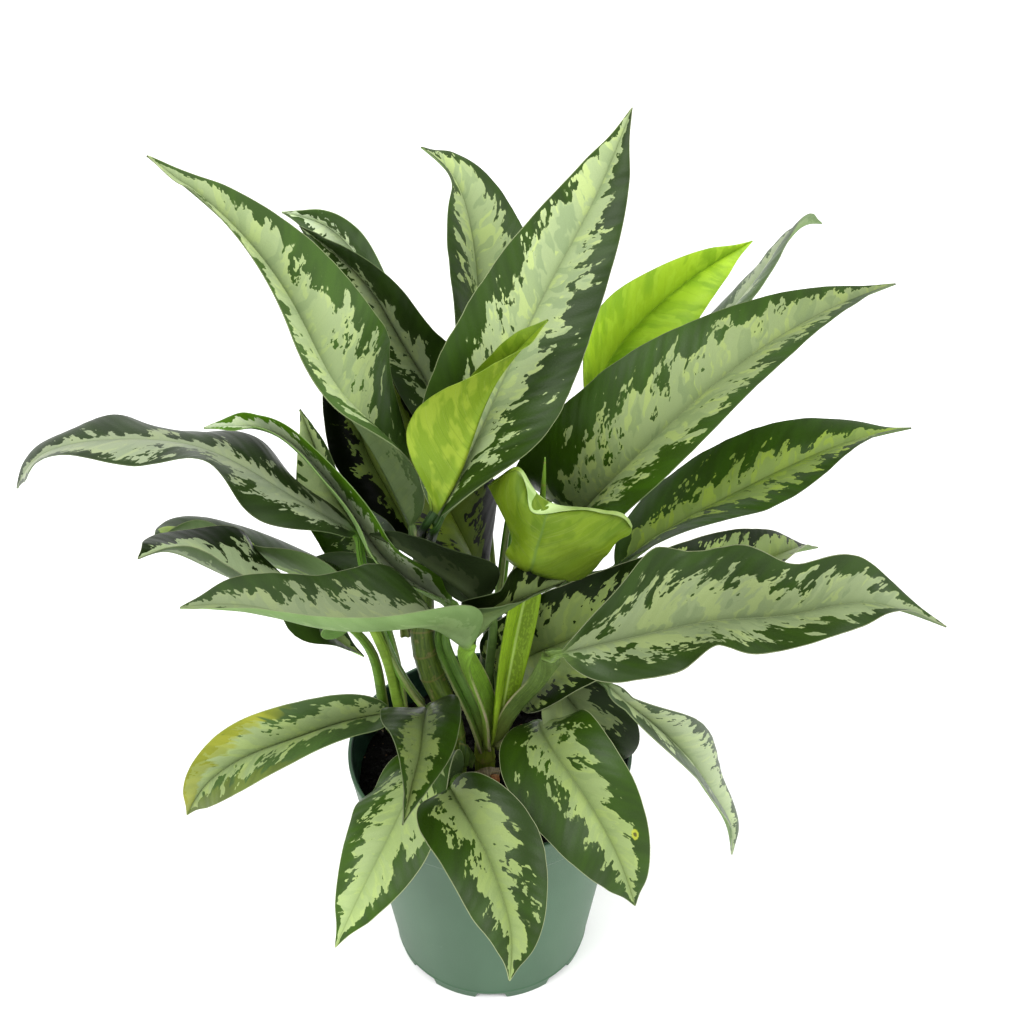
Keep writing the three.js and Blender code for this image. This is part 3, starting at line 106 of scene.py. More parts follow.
         roll=[0.14, -0.018, 0.75, 0.735], fold_l=[1.314, 1.314, 1.311, 1.31], fold_r=[1.268, 1.355, 1.037, 1.054],
         wide_l=[0.55, 0.42, 0.42, 0.5, 0.75], wide_r=[1.06, 1.1, 1.1, 1.06, 1.02], curl=[-0.097, -0.083], wave=[2.5, -0, 0, 0, -0.12],
         petiole=[[-33, 10, 272], [-32.5, 2, 288]], stalk=[3, 2.4], face=None),
    dict(name='leaf_28_shaded_centre', width=52, ref=[0.104, 0.777, 0.621],
         mid=[[-2.9, -20, 257.9], [-11, -20.1, 268.5], [-21.5, -17.8, 276.1], [-32.7, -14.4, 283], [-44.2, -10.6, 288.7], [-56.6, -7.1, 292.2]],
         roll=[0.368, -0.05, -0.014, 0.187], fold_l=[0.493, 0.273, 0.141, 0.331], fold_r=[0.34, 0.314, 0.161, 0.251],
         wide_l=[1.031, 1.034, 1, 1.002, 1.01], wide_r=[1.001, 0.998, 0.997, 0.997, 0.998], curl=[0.257, 0.306], wave=[2.5, -0, 0.07, -0, -0.03],
         petiole=[[-2, 5, 153], [-1, 4, 190], [3, -5, 232]], stalk=[2.6, 2.2], face=None),
    dict(name='leaf_23_left_edge_on', width=52, ref=[0.286, -0.095, 0.953],
         mid=[[-19.6, 6.7, 237.6], [-48.4, 5, 258.4], [-64.4, 10.6, 287.9], [-79.2, 8.2, 319.2], [-101.6, 15.7, 341.7], [-134.6, 16, 337.9]],
         roll=[-0.344, -0.803, -0.667, -0.358], fold_l=[1.123, 1.189, 1.327, 1.106], fold_r=[1.241, 1.545, 1.631, 1.219],
         wide_l=[0.999, 0.999, 0.996, 0.995, 1], wide_r=[1.03, 1.021, 1.02, 1.019, 1.016], curl=[-0.205, 0.079], wave=[2.5, -0, 0.02, 0, 0.09],
         petiole=[[-3.2, -6, 148.2], [-8.1, -9, 174.3], [-15.4, -11, 197.2], [-23.6, -9, 218.5], [-25.8, 0, 225.4]], stalk=[4.2, 5, 5.4, 4.8, 3.4], face=[0.3, -0.6, 0.4]),
    dict(name='leaf_22_far_left_twisted', width=62, ref=[0, -0.447, 0.894],
         mid=[[-65.5, 2.8, 285.7], [-94.5, -5.6, 313.9], [-128.3, -1.2, 340.6], [-166.7, -9.9, 350.2], [-206.4, -11.3, 345.8], [-223.5, -0.4, 314.3]],
         roll=[0.5, 0.66, 0.688, 0.092], fold_l=[0.119, 0.113, 0.147, 0.186], fold_r=[-0.022, -0.173, -0.128, 0.212],
         wide_l=[1.032, 1.041, 1.014, 1.019, 1.015], wide_r=[0.973, 0.972, 0.981, 0.978, 0.997], curl=[0.238, 0.365], wave=[3, 5.32, 0.02, 4.91, 2.13],
         petiole=[[-34, -6, 180], [-43, -10, 199], [-50.4, -13, 223.4], [-55.6, -11, 254.2], [-62, -3, 272.9]], stalk=[3.6, 4.6, 3.8, 3.2, 2.8], face=None),
    dict(name='leaf_20_left_narrow', width=56, ref=[0, -0.1, 0.995],
         mid=[[-95.8, -12.7, 264.1], [-108.8, -23.8, 273.5], [-122.1, -28.8, 285.1], [-135.4, -32.6, 297.1], [-147.1, -38.7, 309.8], [-156.8, -53.3, 313.7]],
         roll=[0.032, -0.137, 0.249, -0.087], fold_l=[0.898, 0.727, 0.547, 0.636], fold_r=[0.357, 0.276, -0.146, 0.142],
         wide_l=[0.998, 0.996, 0.992, 0.989, 0.992], wide_r=[1.011, 1.037, 1.029, 0.974, 0.997], curl=[-0.321, 0.178], wave=[2.5, 0, -0, 0.01, 0.67],
         petiole=[[-53, 11, 146], [-57, 4, 165], [-56.2, -6, 215.9], [-69, -9, 237], [-83.7, -11, 252.3]], stalk=[3, 2.6, 2.4], face=None),
    dict(name='leaf_21_left_narrow_behind', width=54, ref=[0, -0.1, 0.995],
         mid=[[-68.3, -15.9, 265.5], [-88.1, -0.5, 260.3], [-110, 12.7, 259.6], [-133, 18.9, 268.7], [-152.8, 13.3, 281.1], [-161.4, -9.1, 286.8]],
         roll=[0.725, 0.459, 0.387, 0.207], fold_l=[0.99, 0.529, 0.624, 0.771], fold_r=[0.327, -0.012, 0.103, 0.348],
         wide_l=[0.99, 0.948, 0.941, 0.974, 0.987], wide_r=[0.95, 0.919, 0.919, 0.975, 0.988], curl=[-0.413, 0.389], wave=[2.5, -0, 0.01, -0.01, 0.45],
         petiole=[[-44, 7, 146], [-48, 0, 170], [-49.4, -16, 219.3], [-57.4, -20, 245.8]], stalk=[3.2, 2.8, 2.4], face=None),
    dict(name='leaf_31_left_under', width=46, ref=[0, -0.301, 0.954],
         mid=[[-42.4, 4.2, 241.9], [-63.4, 9.4, 244.2], [-82.3, 14.2, 238.3], [-90.7, 16.9, 221.8], [-83.3, 17.8, 203.5], [-66.3, 19.3, 190.6]],
         roll=[-0.216, -0.299, -0.272, -0.334], fold_l=[0.436, 0.436, 0.436, 0.436], fold_r=[0.51, 0.552, 0.53, 0.56],
         wide_l=[1, 1, 1, 1, 1], wide_r=[0.986, 0.972, 0.94, 0.952, 0.975], curl=[0.3, 0.458], wave=[2.5, -0, -0, -0, -0],
         petiole=[[-43, 6, 216], [-43.5, 8, 228]], stalk=[2.6, 2.4], face=None),
    dict(name='leaf_11_right_behind', width=68, ref=[0, -0.6, 0.8],
         mid=[[4.9, 44.3, 157.5], [19.5, 14.1, 195.2], [53.2, -3.6, 229.1], [100.7, -3, 251.5], [144.2, 24, 255.1], [174.5, 59.6, 232.2]],
         roll=[0.773, 0.096, -0.049, -0.801], fold_l=[0.622, 0.761, 0.733, 0.601], fold_r=[0.309, 0.755, 0.774, 0.946],
         wide_l=[1.003, 0.994, 0.932, 1.026, 1.015], wide_r=[1.096, 1.099, 1.016, 1.039, 1.029], curl=[0.307, 0.185], wave=[2.5, -0, 0.09, 0, -0],
         petiole=[[5, 47, 136], [5, 46, 146]], stalk=[3.4, 2.6], face=None),
    dict(name='leaf_12_low_right_behind', width=56, ref=[0, -0.6, 0.8],
         mid=[[30.9, -2.4, 197.4], [41.3, -9.2, 186], [50.6, -14.8, 174.7], [53.9, -18.6, 161.3], [55.2, -19.7, 147.7], [58.4, -20.2, 134.3]],
         roll=[0.15, 0.17, -0.204, -0.515], fold_l=[0.756, 0.667, 0.422, 0.261], fold_r=[0.681, 0.573, 0.497, 0.47],
         wide_l=[0.974, 0.995, 1.041, 1.047, 1.02], wide_r=[0.966, 0.98, 0.992, 0.997, 0.998], curl=[0.252, 0.338], wave=[2.5, 0, -0.03, 0, 0],
         petiole=[[3, 3, 149], [14, 5, 168], [24, 3, 186]], stalk=[2.8, 2.4], face=None),
    dict(name='leaf_01_tall_centre', width=70, ref=[0, -0.6, 0.8],
         mid=[[-22.1, -13.2, 307.2], [-5.8, 19.5, 326.8], [10.8, 42.3, 357.1], [30, 59.6, 393.1], [52.3, 76.8, 427.2], [67.7, 92.8, 465.8]],
         roll=[-0.405, 0.247, 0.178, 0.035], fold_l=[0.424, 0.511, 0.439, 0.399], fold_r=[0.589, 0.401, 0.367, 0.394],
         wide_l=[1.036, 1.043, 0.999, 1.029, 1.014], wide_r=[1.024, 1.046, 0.917, 1.018, 0.995], curl=[0.205, 0.282], wave=[2.5, -0, 0, 0, 0],
         petiole=[[-30, 12, 270], [-27, 0, 287]], stalk=[3.2, 2.6], face=None),
    dict(name='leaf_02_tall_left', width=66, ref=[0, -0.6, 0.8],
         mid=[[-38.5, 20.6, 277.9], [-53.5, 24.2, 320.1], [-73.4, 16.6, 359.3], [-85.1, 17.9, 403.4], [-108.2, 17.4, 443.1], [-145.6, 24.6, 473.3]],
         roll=[0.985, 0.32, -0.247, -0.013], fold_l=[1.398, 1.132, 1.265, 1.443], fold_r=[-0.013, -0.023, 0.387, 0.437],
         wide_l=[1.004, 0.988, 1.005, 0.997, 1.006], wide_r=[0.966, 0.992, 1.076, 1.022, 0.983], curl=[0.308, 0.27], wave=[2.5, -0, -0.01, 0, 0.12],
         petiole=[[-36, 16, 270], [-37.5, 18, 274]], stalk=[3.2, 2.6], face=None),
    dict(name='leaf_24_left_upright', width=56, ref=[0, -0.6, 0.8],
         mid=[[-62.2, 47.1, 225], [-66, 45.8, 246.7], [-72.2, 41.2, 267.6], [-79.8, 36, 288.3], [-84.4, 35.8, 310.9], [-91.6, 39.3, 332.8]],
         roll=[-0.169, -0.235, -0.468, -0.165], fold_l=[0.571, 0.674, 0.745, 0.63], fold_r=[0.614, 0.748, 0.959, 0.683],
         wide_l=[0.932, 0.903, 0.914, 0.925, 0.963], wide_r=[0.999, 0.998, 0.993, 0.993, 1.006], curl=[0.75, 0.302], wave=[2.5, 0, -0.04, -0, -0],
         petiole=[[-47, 19, 150], [-50, 30, 178], [-58, 39, 206]], stalk=[2.8, 2.4], face=None),
    dict(name='leaf_08_big_right', width=74, ref=[0, -0.6, 0.8],
         mid=[[43.9, 82.5, 222.3], [44.9, 39.7, 268.5], [73.4, 30.9, 311.6], [109.7, 39, 350.8], [155, 55.3, 377], [200.3, 82.8, 378.3]],
         roll=[0.189, -0.193, -0.344, -0.62], fold_l=[0.934, 0.718, 0.294, 0.389], fold_r=[0.807, 0.774, 0.419, 0.633],
         wide_l=[1.5, 1.25, 1.12, 0.98, 0.99], wide_r=[0.985, 0.974, 1.002, 1.015, 1.016], curl=[0.168, 0.303], wave=[2.5, 0, -0.04, -0, 0.29],
         petiole=[[9, 57, 188], [22, 66, 205]], stalk=[3.4, 2.6], face=None),
    dict(name='leaf_09_right', width=62, ref=[0, -0.6, 0.8],
         mid=[[64.9, 16.1, 253.4], [91.6, 33.2, 265.3], [121.8, 44.2, 276.8], [151.8, 52, 290], [180.7, 56.1, 303.3], [212.8, 57.1, 310.3]],
         roll=[-0.767, -0.655, -0.236, -1.031], fold_l=[0.334, 0.213, 0.302, 0.176], fold_r=[0.597, 0.432, 0.333, 0.513],
         wide_l=[0.996, 0.97, 0.966, 1.047, 1.01], wide_r=[1.002, 1.007, 1.024, 1.016, 1.007], curl=[0.299, 0.268], wave=[2.5, -0.01, 0.03, 0, 0.03],
         petiole=[[9, 51, 196], [30, 38, 228]], stalk=[3.2, 2.6], face=None),
    dict(name='leaf_30_silver_centre', width=58, ref=[0, -0.6, 0.8],
         mid=[[-4, 43.8, 216.1], [-11.6, 45.3, 242.8], [-21.2, 45.9, 268.3], [-29.9, 47.1, 293.7], [-39, 49.1, 319.1], [-48.4, 52.7, 344.9]],
         roll=[1.041, 0.684, -0.556, -0.78], fold_l=[0.523, 0.544, 0.511, 0.5], fold_r=[0.168, 0.333, 0.722, 0.804],
         wide_l=[0.996, 0.993, 0.995, 0.998, 0.999], wide_r=[0.981, 0.983, 0.991, 0.987, 0.986], curl=[0.322, 0.352], wave=[2.5, -0, -0, -0, -0],
         petiole=[[-7, 3, 153], [-11, 12, 180], [-9, 27, 200]], stalk=[3, 2.4], face=None),
    dict(name='leaf_25_shaded_upright', width=60, ref=[0, -0.6, 0.8],
         mid=[[-40.5, 46.3, 249.9], [-51.3, 52.6, 271.9], [-62.8, 56.1, 293.8], [-67, 57, 317.4], [-70.8, 53.7, 341], [-68.5, 47.6, 364.4]],
         roll=[0.105, 0.414, 0.094, 0.091], fold_l=[0.573, 0.783, 0.595, 0.514], fold_r=[0.541, 0.587, 0.569, 0.492],
         wide_l=[0.973, 0.955, 0.994, 0.998, 1.004], wide_r=[1.001, 1.001, 1.002, 1.001, 0.999], curl=[0.353, 0.298], wave=[2.5, -0, -0.03, 0, -0],
         petiole=[[-36, 17, 225], [-37, 30, 236]], stalk=[3.2, 2.4], face=None),
    dict(name='leaf_04_back_left', width=64, ref=[0, -0.6, 0.8],
         mid=[[-20.2, 67.9, 295.6], [-28.8, 77.6, 320.7], [-43.9, 82.1, 343.5], [-54, 84.9, 368.7], [-69.8, 84.1, 390.8], [-90.4, 82.4, 409.8]],
         roll=[-0.142, -0.097, -0.378, -0.613], fold_l=[0.65, 0.933, 0.777, 0.627], fold_r=[0.713, 0.971, 0.953, 0.911],
         wide_l=[0.982, 0.946, 0.95, 0.98, 0.99], wide_r=[1.014, 1.02, 0.991, 1.002, 0.993], curl=[0.432, 0.288], wave=[2.5, 0, 0, 0, -0],
         petiole=[[-2, 57, 200], [-9, 59, 245]], stalk=[3.2, 2.4], face=None),
    dict(name='leaf_03_back_left_outer', width=56, ref=[0, -0.6, 0.8],
         mid=[[-31.2, 105, 317.7], [-44.6, 111.8, 336.2], [-57.1, 116.6, 355.9], [-67.5, 118.9, 377], [-81.9, 116.1, 395.3], [-102, 107.6, 404.4]],
         roll=[-0.55, -0.787, -0.745, -0.509], fold_l=[0.456, 0.471, 0.513, 0.567], fold_r=[0.631, 0.76, 0.787, 0.736],
         wide_l=[0.999, 0.998, 0.996, 0.99, 0.984], wide_r=[0.997, 0.995, 0.993, 0.984, 0.989], curl=[0.321, 0.329], wave=[2.5, 0, -0, 0, 0.01],
         petiole=[[-2, 61, 194], [-12, 74, 240]], stalk=[3.2, 2.4], face=None),
    dict(name='leaf_05_back_centre', width=64, ref=[0, -0.6, 0.8],
         mid=[[-5.8, 79.4, 309.6], [-5.8, 88.9, 338.1], [-5.3, 97.7, 366.9], [-7.9, 106.9, 394.8], [-15, 117.5, 420.4], [-32.1, 109.4, 438.4]],
         roll=[0.613, 0.64, 0.534, 0.623], fold_l=[0.637, 0.645, 0.38, 0.365], fold_r=[0.429, 0.42, 0.207, 0.145],
         wide_l=[0.982, 0.977, 0.986, 1.005, 1.007], wide_r=[1.01, 1.02, 1.033, 0.956, 0.959], curl=[0.329, 0.306], wave=[2.5, 0, -0.04, 0, -0.09],
         petiole=[[1, 61, 202], [-2, 66, 250]], stalk=[3.2, 2.4], face=None),
    dict(name='leaf_06_lime_back_right', width=60, ref=[0, -0.6, 0.8],
         mid=[[48.2, 51, 307.2], [53.2, 75.8, 321.2], [66, 95.5, 336], [85.8, 106.4, 352.5], [108.3, 112, 370.6], [133.1, 114.6, 384.9]],
         roll=[0.713, 0.347, 0.351, 0.477], fold_l=[0.777, 0.664, 0.677, 0.636], fold_r=[0.501, 0.553, 0.56, 0.46],
         wide_l=[0.997, 1.007, 1.008, 0.976, 0.988], wide_r=[0.992, 0.984, 0.96, 0.984, 0.995], curl=[0.314, 0.363], wave=[2.5, -0, 0.01, 0, 0],
         petiole=[[4.5, 51, 200], [7, 50, 222], [11.2, 53, 268.1], [20, 57, 282]], stalk=[3.2, 2.6, 2.4], face=None),
    dict(name='leaf_07_back_right_narrow', width=56, ref=[0, -0.6, 0.8],
         mid=[[78.1, 83, 298.1], [95.2, 87.8, 328.5], [120.3, 94, 352.3], [142.1, 110.4, 373.5], [159.1, 136.2, 385.9], [176.2, 160.9, 371.4]],
         roll=[-1.132, -1.044, -1.223, -1.226], fold_l=[0.158, -0.066, -0.038, 0.294], fold_r=[0.318, 0.049, 0.17, 0.478],
         wide_l=[0.993, 0.986, 0.94, 0.7, 0.6], wide_r=[0.999, 1.003, 0.95, 0.7, 0.6], curl=[0.354, 0.284], wave=[2.5, 0, -0.16, -0, -0.04],
         petiole=[[9, 61, 197], [22, 94, 226], [50, 104, 262]], stalk=[3.2, 2.6, 2.4], face=None),
]

# studio light: one pale world, a soft key from the left and a lower, soft fill from the right
WORLD = 1.28
LIGHTS = [
    ("key_light", (-1.3, -1.2, 2.4), (0, 0, 0.25), 1.8, 56),
    ("fill_light", (1.8, -0.9, 1.6), (0, 0, 0.2), 1.6, 34),
]

# How each leaf looks. l and r: how much of the left and right half the pale centre covers,
# from the blade's base to its tip. light, tone: brightness of the centre, and its hue from
# silver (0) to yellow-green (1); light also paints in the light or shade that each leaf gets,
# so leaves in the shade of the crown are painted darker. deep, glow: the same for the margin;
# deep also paints in its light or shade, and glow paints its green more saturated where light
# comes through. under: brightness of the underside, which also paints in its light or shade.
# rim: a pale cream line round the edge, a painted highlight. lime: a young leaf. gold: a
# yellowing margin. marks: old scars. slope, lean: painted light and shade from base to tip
# and across. patchy: strength of the centre's patches. stalk: the petiole's colour, which
# also paints in its light or shade.
LOOKS = {
    "leaf_01_tall_centre": dict(l=(0.56, 0.5, 0.46, 0.64, 0.8, 0.64), r=(0.17, 0.38, 0.45, 0.51, 0.37, 0.41), light=1.34, tone=0.16, deep=0.86, glow=0.83, rim=0.35, seed=3.1, under=1, stalk=(0.014, 0.039, 0.004), patchy=0.95, slope=-0.03, lean=-0.17),
    "leaf_02_tall_left": dict(l=(0.66, 0.67, 0.69, 0.89, 0.95, 0.88), r=(0.17, 0.15, 0.66, 0.53, 0.64, 0.61), light=1.58, tone=0.15, deep=1.85, glow=0.51, rim=0.3, seed=12.8, under=0.31, patchy=0.6, slope=-0.15, lean=-0.06),
    "leaf_03_back_left_outer": dict(l=(0.38, 0.38, 0.43, 0.48, 0.53, 0.33), r=(0.37, 0.37, 0.32, 0.27, 0.47, 0.72), light=2.11, tone=-0.47, deep=1.33, glow=0.26, rim=0.12, seed=22.5, under=1, patchy=0.45, slope=0.25, lean=0.18),
    "leaf_04_back_left": dict(l=(0.33, 0.43, 0.43, 0.33, 0.21, 0.2), r=(0.42, 0.44, 0.52, 0.22, 0.17, 0.12), light=1.18, tone=0.05, deep=0.75, glow=0.68, rim=0.12, seed=32.2, under=1, patchy=0.45, slope=-0.01, lean=-0.04, gloss=0.15),
    "leaf_05_back_centre": dict(l=(0.54, 0.5, 0.47, 0.56, 0.58, 0.57), r=(0.65, 0.7, 0.77, 0.72, 0.62, 0.48), light=1.33, tone=0.24, deep=0.95, glow=0.93, rim=0.12, seed=41.9, under=1, patchy=0.85, slope=0.2, lean=-0.02),
    "leaf_06_lime_back_right": dict(l=(0.7, 0.7, 0.7, 0.7, 0.7, 0.7), r=(0.7, 0.7, 0.7, 0.7, 0.7, 0.7), light=1.51, tone=1.2, deep=3.26, glow=1, rim=0.12, seed=51.6, under=1, lime=1, stalk=(0.055, 0.159, 0.007), patchy=0.45),
    "leaf_07_back_right_narrow": dict(l=(0.28, 0.25, 0.21, 0.34, 0.33, 0.32), r=(0.37, 0.44, 0.53, 0.31, 0.32, 0.35), light=1.263, tone=-0.31, deep=1.85, glow=0, rim=0.2, seed=61.3, under=1, patchy=0.45, slope=-0.19, lean=-0.04),
    "leaf_08_big_right": dict(l=(0.34, 0.32, 0.52, 0.56, 0.6, 0.71), r=(0.43, 0.38, 0.52, 0.73, 0.67, 0.27), light=1.02, tone=0.41, deep=1.11, glow=1.1, rim=0.2, seed=71, under=1, patchy=0.85, slope=-0.25, lean=0),
    "leaf_09_right": dict(l=(0.19, 0.41, 0.4, 0.28, 0.33, 0.55), r=(0.43, 0.43, 0.53, 0.64, 0.65, 0.59), light=1.02, tone=1.1, deep=1.08, glow=1.1, rim=0.15, seed=80.7, under=0.63, patchy=0.8, slope=-0.04, lean=-0.09),
    "leaf_10_broad_right": dict(l=(0.43, 0.59, 0.58, 0.66, 0.53, 0.58), r=(0.33, 0.51, 0.65, 0.56, 0.58, 0.6), light=0.93, tone=0.13, deep=0.82, glow=0.77, rim=0.55, seed=90.4, under=0.62, stalk=(0.082, 0.134, 0.026), patchy=0.75, paper=0.8, slope=0.06, lean=-0.01),
    "leaf_11_right_behind": dict(l=(0.69, 0.73, 0.75, 0.76, 0.74, 0.56), r=(0.95, 1, 0.69, 0.91, 1, 1), light=1.04, tone=0.71, deep=0.35, glow=1.1, rim=0.6, seed=100.1, under=1, patchy=0.5, slope=-0.25, lean=-0.07, gloss=0.1),
    "leaf_12_low_right_behind": dict(l=(0.67, 0.64, 0.58, 0.33, 0.43, 0.54), r=(1, 1, 0.73, 0.7, 0.7, 0.7), light=0.8, tone=0.4, deep=0.42, glow=1.1, rim=0.3, seed=109.8, under=1, patchy=0.45, slope=0.17, lean=0.15, gloss=0.12),
    "leaf_13_low_right_hanging": dict(l=(0.86, 0.86, 0.71, 0.66, 0.56, 0.51), r=(0.67, 0.65, 0.32, 0.32, 0.32, 0.32), light=1.522, tone=-0.06, deep=1.55, glow=-0.43, rim=0.3, seed=119.5, under=1, patchy=0.4, slope=0.14, lean=0.05),
    "leaf_14_front_right": dict(l=(0.37, 0.45, 0.39, 0.49, 0.43, 0.36), r=(0.26, 0.42, 0.38, 0.3, 0.31, 0.27), light=1.03, tone=0.58, deep=0.93, glow=0.98, rim=0.55, seed=129.2, under=1, patchy=0.45, marks=((0.686, -0.651, 2.6, (0.3, 0.33, 0.03, 1)),), slope=0.05, lean=-0.06),
    "leaf_15_front_centre": dict(l=(0.31, 0.59, 0.49, 0.31, 0.44, 0.49), r=(0.3, 0.46, 0.34, 0.47, 0.38, 0.53), light=0.94, tone=0.67, deep=0.75, glow=1.1, rim=0.55, seed=138.9, under=1, patchy=0.3, slope=0.16, lean=0.03, stalk=(0.05, 0.1, 0.012)),
    "leaf_16_front_left": dict(l=(0.65, 0.75, 0.87, 0.64, 0.53, 0.41), r=(0.52, 0.48, 0.48, 0.55, 0.54, 0.49), light=1.31, tone=0.49, deep=1.29, glow=0.92, rim=0.55, seed=148.6, under=0.59, patchy=0.45, slope=0.25, lean=0.06, stalk=(0.05, 0.1, 0.012)),
    "leaf_17_front_small": dict(l=(0.23, 0.23, 0.38, 0.49, 0.55, 0.38), r=(0.19, 0.19, 0.24, 0.59, 0.69, 0.29), light=0.62, tone=0.73, deep=0.68, glow=1.1, rim=0.4, seed=158.3, under=1, patchy=0.4, slope=0, lean=0.01),
    "leaf_18_low_left_yellowing": dict(l=(0.47, 0.52, 0.52, 0.52, 0.37, 0.22), r=(0.71, 0.71, 0.73, 0.81, 0.81, 0.81), light=1.243, tone=0.36, deep=1.9, glow=0.11, rim=0.35, seed=168, under=1, gold=True, patchy=0.5, slope=-0.12, lean=-0.02),
    "leaf_19_left_folded": dict(l=(0.56, 0.56, 0.56, 0.56, 0.56, 0.56), r=(0.34, 0.36, 0.53, 0.62, 0.45, 0.67), light=0.78, tone=0.06, deep=0.86, glow=0.46, rim=0.35, seed=177.7, under=1.4, stalk=(0.141, 0.261, 0.026), patchy=0.5, paper=0.8, slope=0.25, lean=-0.2),
    "leaf_20_left_narrow": dict(l=(0.5, 0.5, 0.5, 0.5, 0.5, 0.5), r=(0.57, 0.57, 0.41, 0.54, 0.33, 0.38), light=1.48, tone=-0.1, deep=0.33, glow=1.1, rim=0.3, seed=187.4, under=0.28, stalk=(0.09, 0.179, 0.018), patchy=0.45, slope=0.16, lean=0.04, gloss=0.15),
    "leaf_21_left_narrow_behind": dict(l=(0.2, 0.2, 0.2, 0.2, 0.2, 0.2), r=(0.09, 0.04, 0, 0.09, 0.39, 0.37), light=1.39, tone=1.19, deep=0.84, glow=1.1, rim=0.3, seed=197.1, under=0.47, stalk=(0.159, 0.263, 0.028), patchy=0.45, slope=0, lean=0.05),
    "leaf_22_far_left_twisted": dict(l=(0.35, 0.57, 0.6, 0.87, 0.75, 0.63), r=(0.32, 0.2, 0.14, 0.09, 0.19, 0.14), light=1, tone=-0.28, deep=0.65, glow=0.33, rim=0.12, seed=206.8, under=1, stalk=(0.11, 0.234, 0.028), patchy=0.5, slope=0.06, lean=-0.09),
    "leaf_23_left_edge_on": dict(l=(0.54, 0.6, 0.47, 0.4, 0.42, 0.44), r=(0.26, 0.67, 0.81, 0.43, 0.65, 0.63), light=1.86, tone=-0.52, deep=2.59, glow=1.1, rim=0.12, seed=216.5, under=0.74, stalk=(0.096, 0.19, 0.03), patchy=0.45, paper=0.6, slope=0.23, lean=-0.04),
    "leaf_24_left_upright": dict(l=(0.69, 0.52, 0.34, 0.82, 1, 1), r=(0.76, 0.76, 0.76, 0.79, 0.81, 0.62), light=1.47, tone=0.35, deep=1.01, glow=1.1, rim=0.12, seed=226.2, under=1, stalk=(0.097, 0.241, 0.018), patchy=0.45, slope=-0.04, lean=-0.06),
    "leaf_25_shaded_upright": dict(l=(0.25, 0.47, 0.56, 0.37, 0.4, 0.42), r=(0.44, 0.44, 0.44, 0.44, 0.44, 0.44), light=1.02, tone=1.01, deep=0.05, glow=1.1, rim=0.12, seed=235.9, under=1, patchy=0.45, slope=-0.15, lean=-0.2, gloss=0.08),
    "leaf_26_lime_rolled": dict(l=(0.7, 0.7, 0.7, 0.7, 0.7, 0.7), r=(0.7, 0.7, 0.7, 0.7, 0.7, 0.7), light=0.67, tone=0.36, deep=0.48, glow=0.81, rim=0.12, seed=245.6, under=1, lime=1, stalk=(0.01, 0.028, 0.004), patchy=0.45),
    "leaf_27_lime_folded": dict(l=(0.7, 0.7, 0.7, 0.7, 0.7, 0.7), r=(0.7, 0.7, 0.7, 0.7, 0.7, 0.7), light=0.47, tone=0.3, deep=0.5, glow=0.3, rim=0.12, seed=255.3, under=1, lime=1, papery=True, ridge=(0.2, 0.4), stalk=(0.266, 0.435, 0.024), patchy=0.45, lip=1, paper=0, gloss=0.12),
    "leaf_28_shaded_centre": dict(l=(0.3, 0.3, 0.3, 0.3, 0.3, 0.3), r=(0.3, 0.3, 0.3, 0.3, 0.3, 0.3), light=0.3, tone=0.3, deep=0.5, glow=0.3, rim=0.12, seed=265, under=0.41, stalk=(0.09, 0.152, 0.039), patchy=0.45, gloss=0.06),
    "leaf_29_small_centre": dict(l=(0.25, 0.15, 0.23, 0.61, 0.51, 0.46), r=(0.41, 0.41, 0.41, 0.41, 0.41, 0.41), light=1, tone=0.65, deep=0.29, glow=0.88, rim=0.12, seed=274.7, under=0.5, patchy=0.45, slope=-0.25, lean=0.07, gloss=0.12),
    "leaf_30_silver_centre": dict(l=(0.82, 0.88, 0.91, 0.82, 0.73, 0.72), r=(0.47, 0.4, 0.65, 0.63, 0.61, 0.61), light=0.43, tone=1.5, deep=0.04, glow=0.9, rim=0.12, seed=284.4, under=1, patchy=0.45, slope=0.25, lean=-0.15, gloss=0.12),
    "leaf_31_left_under": dict(l=(0.26, 0.26, 0.26, 0.41, 0.56, 0.1), r=(0.48, 0.55, 0.43, 0.2, 0.14, 0.17), light=1.53, tone=0.64, deep=0.97, glow=0.62, rim=0.12, seed=294.1, under=2.63, patchy=0.45, slope=0.25, lean=0.2, gloss=0.15),
}

STEMS = [
    dict(name="stem_a_front", points=[[-2, 3, 108], [-3, 1.5, 122], [-3, 0.5, 133], [-3, 0, 143], [-2.5, 0, 151]], radii=[5.2, 5.2, 5.6, 5.2, 5.0]),
    dict(name="stem_b_cane", points=[[-17, -9, 108], [-18.5, -11, 124], [-16.5, -10.5, 145], [-18.5, -8, 172], [-29, -5, 196], [-34.5, 1, 218], [-34, 11, 240], [-32, 14, 256], [-32, 14, 266]], radii=[4.6, 4.8, 4.8, 5.6, 6.6, 6.6, 5.8, 5.0, 4.4]),
    dict(name="stem_c_back", points=[[-1, 48, 108], [-2, 50, 124], [-3, 54, 146], [0, 57, 172], [3, 56, 197]], radii=[5.2, 5.2, 5, 4.8, 4.4]),
    dict(name="stem_d_left", points=[[-46, 18, 108], [-46, 17, 122], [-46, 15, 134], [-45, 13, 146]], radii=[4.6, 4.6, 4.6, 3.6]),
]
SPEAR = dict(name="spear", points=[[22.5, 4, 262], [24.5, 3, 282], [26.5, 1.5, 305], [27.2, 0.5, 331.5]], radii=[2.0, 2.2, 1.8, 0.35])

# pot, in mm
POT_HEIGHT, RIM_RADIUS, FOOT_RADIUS, WALL = 143.8, 76.0, 53.7, 1.6
RIM_BAND, RIM_STEP = 19.0, 0.5
FLOOR_UNDER, FLOOR_TOP, PAD_RADIUS, FOOT_WALL = 4.0, 6.0, 13.0, 2.3
NOTCHES, NOTCH_WIDTH, NOTCH_HEIGHT = 8, 18.0, 3.5
DRAIN_HOLES, DRAIN_RADIUS, DRAIN_CIRCLE = 8, 3.5, 38.0
SOIL_TOP = 125.0
PETIOLE_HALF_WIDTH = 2.2


